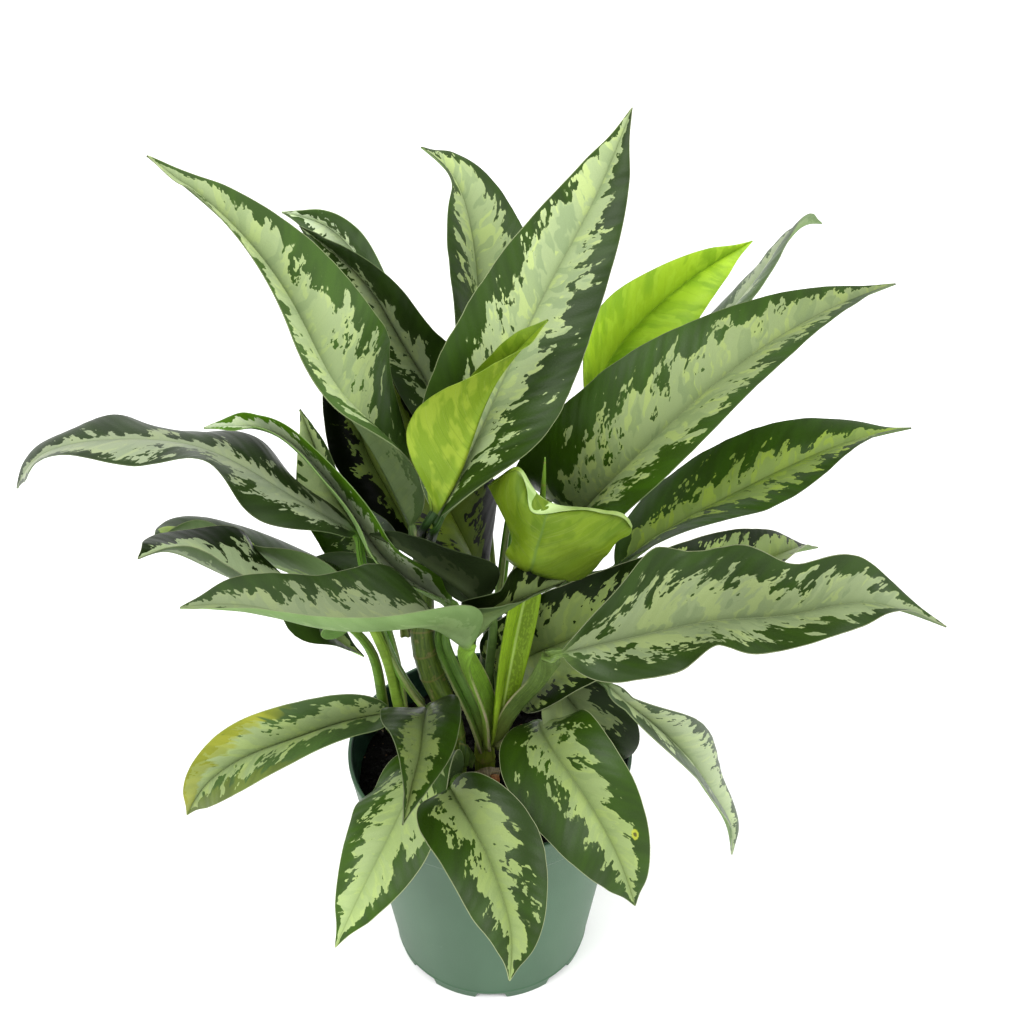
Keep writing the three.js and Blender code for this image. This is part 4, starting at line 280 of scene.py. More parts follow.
# ---- splines and small maths --------------------------------------------------------
def spline(values, t):
    """Natural-ended uniform cubic B-spline through its end points, for an array of t."""
    v = np.asarray(values, float)
    one = v.ndim == 1
    if one:
        v = v[:, None]
    v = np.vstack([2 * v[0] - v[1], v, 2 * v[-1] - v[-2]])
    n = len(v) - 2
    x = np.clip(np.atleast_1d(np.asarray(t, float)), 0, 1) * (n - 1)
    i = np.minimum(x.astype(int), n - 2)
    u = (x - i)[:, None]
    w = [(1 - u) ** 3 / 6, (3 * u**3 - 6 * u**2 + 4) / 6, (-3 * u**3 + 3 * u**2 + 3 * u + 1) / 6, u**3 / 6]
    out = sum(w[k] * v[i + k] for k in range(4))
    return out[:, 0] if one else out


def unit(v):
    return v / np.maximum(np.linalg.norm(v, axis=-1, keepdims=True), 1e-12)


def tangent(values, t):
    t = np.atleast_1d(np.asarray(t, float))
    return unit(spline(values, np.minimum(t + 1e-3, 1)) - spline(values, np.maximum(t - 1e-3, 0)))


def smoothstep(x, a, b):
    k = np.clip((x - a) / (b - a), 0, 1)
    return k * k * (3 - 2 * k)


def outline(t):
    return np.maximum(np.sin(np.pi * t**0.72), 0) ** 0.9


def hash01(i, seed):
    """A repeatable number from 0 to 1 for each whole number."""
    x = np.sin(i * 127.1 + seed * 311.7) * 43758.5453
    return x - np.floor(x)


def wobble(x, seed):
    """Smooth repeatable noise along a line, about -1 to 1, one feature per unit."""
    i = np.floor(x)
    f = x - i
    f = f * f * (3 - 2 * f)
    return (hash01(i, seed) * (1 - f) + hash01(i + 1, seed) * f) * 2 - 1


def wobble2(x, y, seed):
    """Smooth repeatable noise over a plane."""
    i, j = np.floor(x), np.floor(y)
    f, g = x - i, y - j
    f, g = f * f * (3 - 2 * f), g * g * (3 - 2 * g)
    h = lambda a, b: hash01(a + b * 57.0, seed)
    top = h(i, j) * (1 - f) + h(i + 1, j) * f
    low = h(i, j + 1) * (1 - f) + h(i + 1, j + 1) * f
    return (top * (1 - g) + low * g) * 2 - 1


# ---- meshes --------------------------------------------------------------------------
def make_mesh(name, points, quads, triangles=(), attributes=None, flat=False):
    """A mesh object from points in mm."""
    mesh = bpy.data.meshes.new(name)
    quads = np.asarray(quads, np.int32).reshape(-1, 4)
    triangles = np.asarray(triangles, np.int32).reshape(-1, 3)
    mesh.vertices.add(len(points))
    mesh.vertices.foreach_set("co", (np.asarray(points, np.float32) * MM).ravel())
    loops = np.concatenate([quads.ravel(), triangles.ravel()])
    starts = np.concatenate([np.arange(len(quads)) * 4, len(quads) * 4 + np.arange(len(triangles)) * 3])
    mesh.loops.add(len(loops))
    mesh.loops.foreach_set("vertex_index", loops)
    mesh.polygons.add(len(starts))
    mesh.polygons.foreach_set("loop_start", starts.astype(np.int32))
    mesh.polygons.foreach_set("use_smooth", np.full(len(starts), not flat))
    mesh.update(calc_edges=True)
    for key, value in (attributes or {}).items():
        layer = mesh.attributes.new(key, "FLOAT_VECTOR", "POINT")
        layer.data.foreach_set("vector", np.asarray(value, np.float32).ravel())
    mesh.validate()
    obj = bpy.data.objects.new(name, mesh)
    bpy.context.scene.collection.objects.link(obj)
    return obj


def show(obj, material, node=None):
    obj.data.materials.append(material)
    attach(obj, "root")
    if node:
        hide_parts(node)
    return obj


def grid_faces(rows, cols, closed_cols=False, offset=0):
    i, j = np.meshgrid(np.arange(rows - 1), np.arange(cols if closed_cols else cols - 1), indexing="ij")
    k = (j + 1) % cols
    return (offset + np.stack([i * cols + j, i * cols + k, (i + 1) * cols + k, (i + 1) * cols + j], -1)).reshape(-1, 4)


# ---- leaf geometry ---------------------------------------------------------------------
def folds(d, t, half):
    f = np.stack([spline(d["fold_l"], t), spline(d["fold_r"], t)], -1)
    total = f.sum(-1)
    most = 1.15 + 1.65 * smoothstep(half, 2.4, 13)
    scale = np.where(total > most, most / np.maximum(total, 1e-9), 1.0)
    return f * scale[:, None]


def normal_of(ref, along, roll):
    ref = np.broadcast_to(np.asarray(ref, float), along.shape)
    n = unit(ref - (ref * along).sum(-1, keepdims=True) * along)
    s = np.cross(along, n)
    return n * np.cos(roll)[:, None] + s * np.sin(roll)[:, None]


def across_positions(count):
    """Positions from -1 to 1, closer together at the midrib and at the edges."""
    x = np.linspace(0, 1, count + 1)
    x = 0.72 * x + 0.28 * (3 * x**2 - 2 * x**3)
    x = np.concatenate([[0, 0.018, 0.05], x[x > 0.055]])
    x[-1] = 0.988
    x = np.append(x, 1.0)
    return np.concatenate([-x[::-1], x[1:]])


def net_surface(net, t, v):
    """Points, upper normals and distances across of a blade that is laid over a net."""
    net = np.array(net, float)
    down = np.stack([spline(net[:, j], t) for j in range(net.shape[1])], 1)
    p = np.stack([spline(row, (v + 1) / 2) for row in down])
    normal = unit(np.cross(np.gradient(p, axis=1), np.gradient(p, axis=0)))
    across = np.linalg.norm(np.diff(p, axis=1), axis=-1)
    mm = np.concatenate([np.zeros((len(t), 1)), np.cumsum(across, axis=1)], 1)
    mm = mm - mm[:, [len(v) // 2]]
    return p, normal, mm


def closed_sheet(upper, lower):
    """Points and faces of a thin sheet, closed round its rim."""
    rows, cols = upper.shape[:2]
    points = np.concatenate([upper.reshape(-1, 3), lower.reshape(-1, 3)])
    count = rows * cols
    faces = [grid_faces(rows, cols), grid_faces(rows, cols, offset=count)[:, ::-1]]
    i = np.arange(rows - 1)
    for j, flip in ((0, True), (cols - 1, False)):  # the rim
        a0, a1 = i * cols + j, (i + 1) * cols + j
        q = np.stack([a0, a1, a1 + count, a0 + count], -1)
        faces.append(q[:, ::-1] if flip else q)
    j = np.arange(cols - 1)
    for r, flip in ((0, False), (rows - 1, True)):  # both ends
        b0, b1 = r * cols + j, r * cols + j + 1
        q = np.stack([b0, b0 + count, b1 + count, b1], -1)
        faces.append(q[:, ::-1] if flip else q)
    return points, np.concatenate(faces)


def leaf_object(d, look, petiole_rows=26, blade_rows=104, columns=15):
    """One closed leaf, blade and petiole in one, with its own coordinates as attributes."""
    columns = 34 if d.get("net") else columns
    base, way = spline(d["mid"], 0)[0], tangent(d["mid"], 0)[0]
    reach = np.linalg.norm(base - np.array(d["petiole"][-1]))
    stalk = [*d["petiole"], list(base - way * min(8, reach * 0.35)), list(base)]
    tp = np.arange(petiole_rows) / petiole_rows
    tb = np.linspace(0, 1, blade_rows)
    tb = tb - 0.055 * np.sin(2 * np.pi * tb)
    v = across_positions(columns)
    x = np.abs(v)
    side = (v >= 0).astype(int)
    sign = np.where(v < 0, -1.0, 1.0)

    # the petiole
    half_p = spline([*d["stalk"], PETIOLE_HALF_WIDTH], tp)
    up = normal_of(d["ref"], way[None], spline(d["roll"], 0))[0]
    face = unit(np.array(d["face"], float)) if d["face"] else up
    ref_p = face + (up - face) * (tp**2)[:, None]
    fold0 = folds(d, np.zeros(1), np.zeros(1))[0]
    wing = smoothstep(half_p, 3.6, 5.5)
    fold_p = fold0 + (0.62 - fold0) * wing[:, None]
    along_p = tangent(stalk, tp)
    centre_p = spline(stalk, tp)
    n_p = unit(ref_p - (ref_p * along_p).sum(-1, keepdims=True) * along_p)
    thick_p = np.minimum(4.2 - tp, half_p * 1.35)

    # the blade
    f = outline(tb)
    waves, hl, pl, hr, pr = d["wave"]
    half_b = np.stack([np.hypot(d["width"] / 2 * f * spline(m, tb), PETIOLE_HALF_WIDTH * (1 - tb)) + 0.25 for m in (d["wide_l"], d["wide_r"])], -1)
    seed = look["seed"]
    length_b = np.concatenate([[0], np.cumsum(np.linalg.norm(np.diff(spline(d["mid"], tb), axis=0), axis=1))])
    for k in range(2):  # a margin is never quite even
        half_b[:, k] *= 1 + 0.012 * wobble(length_b / 13, seed + k) * f + 0.006 * wobble(length_b / 4.5, seed + 5 + k) * f
    half_b *= 1 - 0.30 * smoothstep(tb, 0.86, 0.97)[:, None]  # a drawn-out tip
    lift_b = np.stack([hl * f * np.sin(2 * np.pi * waves * tb + pl), hr * f * np.sin(2 * np.pi * waves * tb + pr)], -1)
    fold_b = folds(d, tb, half_b.min(-1))
    along_b, centre_b = tangent(d["mid"], tb), spline(d["mid"], tb)
    n_b = normal_of(d["ref"], along_b, spline(d["roll"], tb))

    centre = np.vstack([centre_p, centre_b])
    along = np.vstack([along_p, along_b])
    n = np.vstack([n_p, n_b])
    s = np.cross(along, n)
    half = np.vstack([np.stack([half_p, half_p], -1), half_b])
    fold = np.vstack([fold_p, fold_b])
    lift = np.vstack([np.zeros((petiole_rows, 2)), lift_b])
    curl = np.vstack([np.zeros((petiole_rows, 2)), np.broadcast_to(d["curl"], (blade_rows, 2))])
    curl = np.where(np.abs(curl) < 0.02, 0.02, curl)
    blade = np.concatenate([np.zeros(petiole_rows), smoothstep(tb, 0.0, 0.07)])  # 0 petiole, 1 blade

    rows, cols = len(centre), len(v)
    k = curl[:, side]
    a = fold[:, side] + k
    th = a - 2 * k * x
    h = half[:, side]
    across = (np.sin(a) - np.sin(th)) / (2 * k) * h
    rise = (np.cos(th) - np.cos(a)) / (2 * k) * h + lift[:, side] * x * x
    mm = h * v  # signed distance across, along the surface
    arc = np.concatenate([[0], np.cumsum(np.linalg.norm(np.diff(centre, axis=0), axis=1))])
    arc = arc - arc[petiole_rows]
    long = np.broadcast_to(arc[:, None], (rows, cols))
    if d.get("net"):
        p_net, normal_net, mm_net = net_surface(d["net"], tb, v)
        mm = np.vstack([mm[:petiole_rows], mm_net])
        h = np.vstack([h[:petiole_rows], np.where(v < 0, -mm_net[:, :1], mm_net[:, -1:])])
    # the blade is a little uneven between its lateral veins
    vein = long - 0.9 * np.abs(mm) - 0.02 * mm**2
    uneven = (0.42 * wobble2(vein / 15, mm / 24, seed) + 0.2 * wobble2(vein / 7.5, mm / 18, seed + 3)) * blade[:, None] * smoothstep(np.abs(mm), 1.5, 9)
    p = centre[:, None] + (sign * across)[..., None] * s[:, None] + (rise + uneven)[..., None] * n[:, None]
    normal = n[:, None] * np.cos(th)[..., None] - (sign * np.sin(th))[..., None] * s[:, None]
    normal[:, x == 0] = n[:, None]
    if d.get("net"):
        p[petiole_rows:] = p_net + uneven[petiole_rows:, :, None] * normal_net
        normal[petiole_rows:] = normal_net

    t_all = np.concatenate([np.zeros(petiole_rows), tb])[:, None]
    keel = 1.9 * (1 - t_all) ** 0.7 + 0.35
    lamina = 0.42 - 0.12 * t_all
    edge = 0.14
    round_ = np.sqrt(np.maximum(1 - x**2, 0))[None]
    thick = np.concatenate([thick_p, np.full(blade_rows, 3.0)])[:, None]
    # petiole: rounded below, shallow channel above; sheath-like where it is wide
    wing_all = np.concatenate([wing, np.zeros(blade_rows)])[:, None]
    low_p = thick * (0.72 - 0.25 * wing_all) * round_ + edge
    top_p = thick * 0.26 * round_ * (1 - 0.55 * np.exp(-((mm / 1.6) ** 2))) + edge
    low_b = edge + (lamina - edge) * smoothstep(1 - x, 0.0, 0.12)[None] + keel * np.exp(-((mm / (0.9 + 1.3 * (1 - t_all))) ** 2))
    top_b = edge + (lamina * 0.5 - edge * 0.5) * smoothstep(1 - x, 0.0, 0.12)[None] - 0.55 * (1 - t_all) ** 0.5 * np.exp(-((mm / (1.5 - 0.6 * t_all)) ** 2)) + 0.25 * (1 - t_all)
    low = low_p + (low_b - low_p) * blade[:, None]
    top = top_p + (top_b - top_p) * blade[:, None]
    upper = p + normal * top[..., None]
    lower = p - normal * low[..., None]

    points, faces = closed_sheet(upper, lower)
    count = rows * cols
    t_out = np.concatenate([tp - 1, tb])[:, None]
    t_out = np.broadcast_to(t_out, (rows, cols))
    one = np.stack([long, mm, np.broadcast_to(h, (rows, cols))], -1).reshape(-1, 3)
    two = np.stack([t_out, np.broadcast_to(v, (rows, cols))], -1).reshape(-1, 2)
    band = np.stack([np.interp(t_out[:, 0], np.linspace(0, 1, 6), look[key]) for key in ("l", "r")], -1)[:, side]
    three = np.stack([band, band, band], -1).reshape(-1, 3)
    look["length"] = arc[-1]
    attributes = {
        "leaf_band": np.concatenate([three, three]),
        "leaf_mm": np.concatenate([one, one]),
        "leaf_at": np.concatenate([np.c_[two, np.ones(count)], np.c_[two, np.zeros(count)]]),
    }
    return make_mesh(d["name"] + "_look", points, faces, attributes=attributes)


# ---- node trees ----------------------------------------------------------------------
def srgb(r, g, b):
    """A picked 0-255 colour as the linear colour that nodes take."""
    f = lambda c: c / 12.92 if c <= 0.04045 else ((c + 0.055) / 1.055) ** 2.4
    return (f(r / 255), f(g / 255), f(b / 255), 1.0)


class Tree:
    """Short names for the nodes that the materials use."""

    def __init__(self, tree):
        self.tree = tree

    def node(self, kind, outputs=0, **inputs):
        n = self.tree.nodes.new("ShaderNode" + kind)
        for key, value in inputs.items():
            if key.startswith("_"):
                setattr(n, key[1:], value)
            else:
                self.put(n.inputs[key.replace("0", " ")], value)
        return n

    def put(self, socket, value):
        if isinstance(value, bpy.types.NodeSocket):
            self.tree.links.new(value, socket)
        elif value is not None:
            if socket.type == "RGBA" and len(value) == 3:
                value = (*value, 1.0)
            socket.default_value = value

    def math(self, op, a, b=None, c=None, clamp=False):
        n = self.tree.nodes.new("ShaderNodeMath")
        n.operation, n.use_clamp = op, clamp
        for k, value in enumerate((a, b, c)):
            if value is not None:
                self.put(n.inputs[k], value)
        return n.outputs[0]

    def add(self, a, b):
        return self.math("ADD", a, b)

    def sub(self, a, b):
        return self.math("SUBTRACT", a, b)

    def mul(self, a, b):
        return self.math("MULTIPLY", a, b)

    def ramp(self, value, a, b, lo=0.0, hi=1.0, smooth=True):
        n = self.tree.nodes.new("ShaderNodeMapRange")
        n.interpolation_type = "SMOOTHSTEP" if smooth else "LINEAR"
        n.clamp = True
        for key, v in (("Value", value), ("From Min", a), ("From Max", b), ("To Min", lo), ("To Max", hi)):
            self.put(n.inputs[key], v)
        return n.outputs[0]

    def mix(self, fac, a, b, blend="MIX"):
        n = self.tree.nodes.new("ShaderNodeMix")
        n.data_type, n.blend_type, n.clamp_factor = "RGBA", blend, True
        for k, v in ((0, fac), (6, a), (7, b)):
            self.put(n.inputs[k], v)
        return n.outputs[2]

    def lerp(self, fac, a, b):
        n = self.tree.nodes.new("ShaderNodeMix")
        n.data_type = "FLOAT"
        for k, v in ((0, fac), (2, a), (3, b)):
            self.put(n.inputs[k], v)
        return n.outputs[0]

    def xyz(self, x=0.0, y=0.0, z=0.0):
        n = self.tree.nodes.new("ShaderNodeCombineXYZ")
        for k, v in enumerate((x, y, z)):
            self.put(n.inputs[k], v)
        return n.outputs[0]

    def split(self, vector):
        n = self.tree.nodes.new("ShaderNodeSeparateXYZ")
        self.put(n.inputs[0], vector)
        return n.outputs

    def attribute(self, name):
        n = self.tree.nodes.new("ShaderNodeAttribute")
        n.attribute_name = name
        return n.outputs["Vector"]

    def noise(self, vector, scale=1.0, detail=2.0, rough=0.5, distort=0.0, colour=False):
        n = self.tree.nodes.new("ShaderNodeTexNoise")
        n.noise_dimensions = "3D"
        for key, v in (("Vector", vector), ("Scale", scale), ("Detail", detail), ("Roughness", rough), ("Distortion", distort)):
            self.put(n.inputs[key], v)
        return n.outputs["Color" if colour else "Fac"]

    def cells(self, vector, scale=1.0, random=1.0, feature="F1"):
        n = self.tree.nodes.new("ShaderNodeTexVoronoi")
        n.voronoi_dimensions, n.feature = "3D", feature
        for key, v in (("Vector", vector), ("Scale", scale), ("Randomness", random)):
            self.put(n.inputs[key], v)
        return n.outputs

    def vector(self, op, a, b=None):
        n = self.tree.nodes.new("ShaderNodeVectorMath")
        n.operation = op
        self.put(n.inputs[0], a)
        if b is not None:
            if op == "SCALE":
                self.put(n.inputs["Scale"], b)
            else:
                self.put(n.inputs[1], b)
        return n.outputs[0]

    def bump(self, height, distance, strength=1.0, normal=None):
        n = self.tree.nodes.new("ShaderNodeBump")
        for key, v in (("Height", height), ("Distance", distance), ("Strength", strength), ("Normal", normal)):
            if v is not None:
                self.put(n.inputs[key], v)
        return n.outputs[0]


def new_material(name, build, specular=0.4, sheen=0.0, coat=0.0, coat_rough=0.2):
    """A Principled material. build(tree) returns colour, roughness, and a normal or None."""
    mat = bpy.data.materials.new(name)
    mat.use_nodes = True
    tree = Tree(mat.node_tree)
    shader = next(n for n in mat.node_tree.nodes if n.type == "BSDF_PRINCIPLED")
    colour, rough, normal = build(tree)
    tree.put(shader.inputs["Base Color"], colour)
    tree.put(shader.inputs["Roughness"], rough)
    if normal is not None:
        tree.put(shader.inputs["Normal"], normal)
    shader.inputs["Specular IOR Level"].default_value = specular
    shader.inputs["Sheen Weight"].default_value = sheen
    shader.inputs["Sheen Roughness"].default_value = 0.45
    shader.inputs["Coat Weight"].default_value = coat
    shader.inputs["Coat Roughness"].default_value = coat_rough
    return mat


# ---- materials --------------------------------------------------------------------------
def leaf_material(name, look):
    """Dark margin, ragged pale centre in three tones, islands, veins, midrib and rim."""
    seed, lime = look["seed"], look.get("lime", 0.0)
    # light, deep, glow and under carry painted light and shade as well as each leaf's own colour
    light, tone, deep, glow = look["light"], look["tone"], look["deep"], look["glow"]

    def centre_tone(k, red=0.0, blue=0.0):
        """A colour of the pale centre: silver when tone is 0, yellow-green when it is 1."""
        green = 0.26 * light * k
        return (green * (0.80 - 0.09 * tone + red), green, green * max(0.50 - 0.27 * tone + blue, 0.03), 1.0)

    def margin_tone(k, red=0.0, blue=0.0):
        """A colour of the dark margin, more saturated where light comes through it."""
        green = 0.046 * deep * k
        return (green * (0.56 - 0.14 * glow + red), green, green * max(0.30 - 0.25 * glow + blue, 0.02), 1.0)

    def build(g):
        u, v, half = g.split(g.attribute("leaf_mm"))[:3]
        t, x, top = g.split(g.attribute("leaf_at"))[:3]
        band = g.split(g.attribute("leaf_band"))[0]
        q, ax = g.math("ABSOLUTE", v), g.math("ABSOLUTE", x)
        right = g.math("GREATER_THAN", v, 0.0)
        # distance along the lateral veins, which leave the midrib and curve to the tip
        p = g.sub(g.sub(u, g.mul(q, 0.55)), g.mul(g.mul(q, q), 0.010))
        layer = g.add(g.mul(right, 37.0), seed)
        where = g.xyz(p, q, layer)

        def at(across, along, shift=0.0, bend=None, amount=0.0):
            """Pattern coordinates: features across by along mm, long side on the veins."""
            place = g.vector("MULTIPLY", where, (1 / across, 1 / along, 1.0))
            if shift:
                place = g.vector("ADD", place, (shift, shift * 0.7, shift * 1.3))
            if bend is not None:
                place = g.vector("ADD", place, g.vector("SCALE", bend, amount))
            return place

        swirl = g.vector("SUBTRACT", g.noise(at(7.0, 8.0), 1.0, 1.0, 0.5, colour=True), (0.5, 0.5, 0.5))
        big = g.sub(g.noise(at(9.5, 14.0, 3.0, swirl, 0.8), 1.0, 0.5, 0.5), 0.5)
        middle = g.sub(g.noise(at(4.8, 5.6, 9.0, swirl, 1.1), 1.0, 0.5, 0.5), 0.5)
        cell = g.cells(at(1.3, 1.5, 5.0, swirl, 2.0), 1.0)["Position"]
        small = g.sub(g.noise(g.vector("ADD", g.vector("SCALE", cell, 0.55), g.vector("SCALE", at(1.3, 1.5, 5.0), 0.25)), 1.0, 0.0, 0.5), 0.5)
        edge = g.sub(g.noise(at(1.0, 1.1), 1.0, 0.0, 0.5), 0.5)
        flecked = g.ramp(g.noise(at(17.0, 17.0, 21.0), 1.0, 0.0, 0.5), 0.55, 0.68)
        field = g.sub(band, ax)
        # close to the midrib the centre is whole, and close to the edge the margin is
        loose = g.mul(g.ramp(ax, 0.03, 0.22), g.ramp(ax, 1.0, 0.84))
        loose = g.mul(loose, look.get("ragged", 1.0))
        spread = g.add(g.add(g.mul(big, 1.0), g.mul(middle, g.add(0.86, g.mul(flecked, 0.4)))), g.add(g.mul(small, g.add(0.34, g.mul(flecked, 0.7))), g.mul(edge, 0.05)))
        field = g.add(field, g.mul(loose, spread))
        pale = g.ramp(field, -0.007, 0.009)
        near = g.ramp(g.math("ABSOLUTE", field), 0.30, 0.03)
        # islands: small pale ones in the margin, darker ones in the centre
        dots = g.cells(at(4.4, 5.6, 2.0, swirl, 1.0), 1.0)
        chance = g.split(dots["Color"])
        gate = g.math("GREATER_THAN", chance[0], g.sub(0.88, g.mul(flecked, 0.35)))
        size = g.add(0.09, g.mul(chance[1], 0.15))
        spot = g.sub(g.add(dots["Distance"], g.mul(edge, 0.16)), size)
        dot = g.mul(g.mul(gate, g.ramp(spot, 0.03, 0.0)), g.mul(g.ramp(near, 0.1, 0.3), g.ramp(loose, 0.1, 0.5)))
        pale = g.math("ABSOLUTE", g.sub(pale, dot))

        # tones of the centre: soft-edged patches that lie along the veins
        patch = g.noise(at(6.0, 11.0, 14.0, swirl, 1.3), 1.0, 1.5, 0.55)
        grey = g.noise(at(8.0, 17.0, 27.0, swirl, 1.0), 1.0, 1.5, 0.5)
        soft = g.noise(at(16.0, 26.0, 33.0), 1.0, 1.0, 0.5)
        level = 0.545 - 0.05 * tone
        patchy = look.get("patchy", 0.6)
        yellow = g.ramp(g.add(patch, g.mul(g.sub(soft, 0.5), 0.7)), level, level + 0.05)
        centre = g.mix(g.mul(yellow, patchy), centre_tone(0.95, 0.01, 0.03), centre_tone(1.20, 0.02, -0.09))
        centre = g.mix(g.mul(g.ramp(grey, 0.54, 0.58), patchy), centre, centre_tone(0.76, -0.03, 0.03))
        centre = g.mix(g.ramp(soft, 0.35, 0.65, 0.0, 0.25), centre, centre_tone(1.15, 0.02, -0.03))
        centre = g.mix(g.mul(g.ramp(field, 0.16, 0.01), 0.5 * patchy), centre, centre_tone(1.16, 0.02, -0.06))
        # painted shade: the centre is darker within about 5 mm of the midrib, along its groove
        centre = g.mix(g.mul(g.ramp(q, 5.5, 0.3), 0.26), centre, centre_tone(0.70, -0.03, 0.02))
        # tones of the margin
        streak = g.noise(at(10.0, 22.0, 41.0), 1.0, 2.0, 0.5)
        margin = g.mix(g.ramp(streak, 0.35, 0.68), margin_tone(0.86), margin_tone(1.20, -0.02, -0.04))
        between = g.mix(g.ramp(field, -0.05, -0.01, 0.0, 0.16), margin, centre)
        colour = g.mix(pale, between, centre)
        if lime:
            def young_tone(k, red=0.0, blue=0.0):
                green = 0.30 * light * k
                return (green * (0.60 + red), green, green * (0.04 + blue), 1.0)

            young = g.mix(g.ramp(soft, 0.35, 0.65), young_tone(0.86, -0.04), young_tone(1.12, 0.03, 0.0))
            young = g.mix(g.mul(g.ramp(patch, 0.50, 0.60), 0.55), young, young_tone(1.25, 0.05, 0.02))
            young = g.mix(g.mul(g.ramp(grey, 0.55, 0.66), 0.45), young, young_tone(0.70, -0.07))
            hair = g.noise(at(0.55, 16.0, 7.0, swirl, 0.5), 1.0, 1.0, 0.5)
            if look.get("lip"):
                # a blade folded over has fine pale streaks
                young = g.mix(g.mul(g.ramp(hair, 0.56, 0.72), 0.30), young, (0.33 * light, 0.42 * light, 0.10 * light, 1))
            colour = g.mix(lime, colour, young)
        if look.get("gold"):
            out = g.ramp(g.add(g.mul(ax, 0.9), g.add(g.mul(g.sub(t, 0.72), 1.3), g.mul(g.sub(patch, 0.5), 1.1))), 0.36, 0.52)
            out = g.mul(out, g.mul(g.ramp(t, 0.36, 0.5), g.lerp(right, 0.25, 1.0)))
            gold = g.mix(g.ramp(streak, 0.3, 0.7), (0.175, 0.200, 0.010, 1), (0.27, 0.285, 0.022, 1))
            colour = g.mix(g.mul(out, 0.9), colour, g.mix(g.mul(pale, 0.22), gold, centre))
        for where_t, where_x, wide, hue in look.get("marks", ()):
            # an old scar: a yellow ring round a dark middle
            length = look["length"]
            far = g.math("SQRT", g.add(g.math("POWER", g.mul(g.sub(t, where_t), length), 2.0), g.math("POWER", g.mul(g.sub(x, where_x), 27.0), 2.0)))
            far = g.add(far, g.mul(edge, 0.9))
            colour = g.mix(g.mul(g.ramp(far, wide, wide * 0.75), 0.85), colour, hue)
            colour = g.mix(g.mul(g.ramp(far, wide * 0.5, wide * 0.35), 0.9), colour, (0.05, 0.045, 0.012, 1))

        # lateral veins and the midrib
        lane = g.math("FRACT", g.add(g.mul(p, 1 / 7.5), g.mul(g.noise(at(20.0, 50.0), 1.0, 1.0, 0.5), 1.6)))
        vein = g.mul(g.ramp(g.math("ABSOLUTE", g.sub(lane, 0.5)), 0.05, 0.0), g.ramp(ax, 0.95, 0.4))
        colour = g.mix(g.mul(vein, 0.10 if not lime else 0.30), colour, g.mix(pale, margin_tone(1.6), centre_tone(0.62)) if not lime else (0.12 * light, 0.2 * light, 0.012, 1))
        wide = g.ramp(t, 0.0, 1.0, 0.85, 0.3, smooth=False)
        rib = g.ramp(q, g.mul(wide, 1.7), g.mul(wide, 0.35))
        rib_colour = g.mix(pale, margin_tone(1.5, 0.05), centre_tone(0.64, -0.02, -0.03))
        if lime:
            rib_colour = (0.15 * light, 0.27 * light, 0.02, 1)
        colour = g.mix(g.mul(rib, 0.66), colour, rib_colour)
        # a pale cream line round the edge: a painted highlight along the rim
        line = g.ramp(g.sub(half, q), 0.34, 0.20)
        colour = g.mix(g.mul(line, look["rim"]), colour, (0.40 * light, 0.43 * light, 0.24 * light, 1))
        # the underside is paler, greyer, and shows the pattern faintly; its brightness, under times light, also paints
        # in the light or shade on it
        k = look.get("under", 1.0) * light
        below = g.mix(g.ramp(streak, 0.3, 0.7), (0.118 * k, 0.195 * k, 0.060 * k, 1), (0.145 * k, 0.23 * k, 0.078 * k, 1))
        below = g.mix(g.mul(vein, 0.35), below, (0.07 * k, 0.12 * k, 0.03 * k, 1))
        below = g.mix(0.25, below, colour)
        if lime:
            below = g.mix(lime, below, g.mix(g.mul(vein, 0.45), g.mix(g.ramp(g.add(patch, g.mul(g.sub(soft, 0.5), 0.8)), 0.44, 0.62), (0.20 * k, 0.32 * k, 0.014 * k, 1), (0.30 * k, 0.42 * k, 0.030 * k, 1)), (0.12 * k, 0.21 * k, 0.008 * k, 1)))
            # fine pale veins between the lateral ones, and a darker foot
            below = g.mix(g.mul(g.ramp(hair, 0.60, 0.72), 0.22 * lime), below, (0.36 * k, 0.46 * k, 0.10 * k, 1))
            below = g.mix(g.mul(g.ramp(t, 0.30, 0.0), 0.5 * lime), below, g.mix(1.0, below, (0.62, 0.70, 0.5, 1), "MULTIPLY"))
            if look.get("papery"):
                below = g.mix(g.mul(g.ramp(g.sub(half, q), 5.0, 1.0), g.mul(g.ramp(g.noise(at(3.0, 9.0), 1.0, 2.0, 0.6), 0.35, 0.6), 0.75)), below, (0.36 * k, 0.47 * k, 0.17 * k, 1))
        colour = g.mix(top, below, colour)
        # the lip, where the blade rolls over near the tip, shows its paler underside, painted brighter still over the
        # shade of the fold: painted light
        if look.get("lip"):
            roll = g.mul(g.ramp(t, 0.815, 0.85), g.add(0.45, g.mul(g.ramp(g.math("ABSOLUTE", g.add(x, 0.13)), 0.42, 0.16), 0.55)))
            colour = g.mix(g.mul(roll, g.ramp(x, -0.54, -0.42)), colour, g.mix(g.ramp(streak, 0.35, 0.6), (0.22, 0.33, 0.10, 1), (0.36, 0.47, 0.20, 1)))
        # painted light and shade: brighter or darker from the base to the tip, and from one margin to the other
        if look.get("slope") or look.get("lean"):
            k = g.add(g.mul(g.sub(t, 0.5), 2 * look.get("slope", 0.0)), g.add(1.0, g.mul(x, look.get("lean", 0.0))))
            k = g.math("MINIMUM", g.math("MAXIMUM", k, 0.45), 1.6)
            colour = g.vector("SCALE", colour, k)
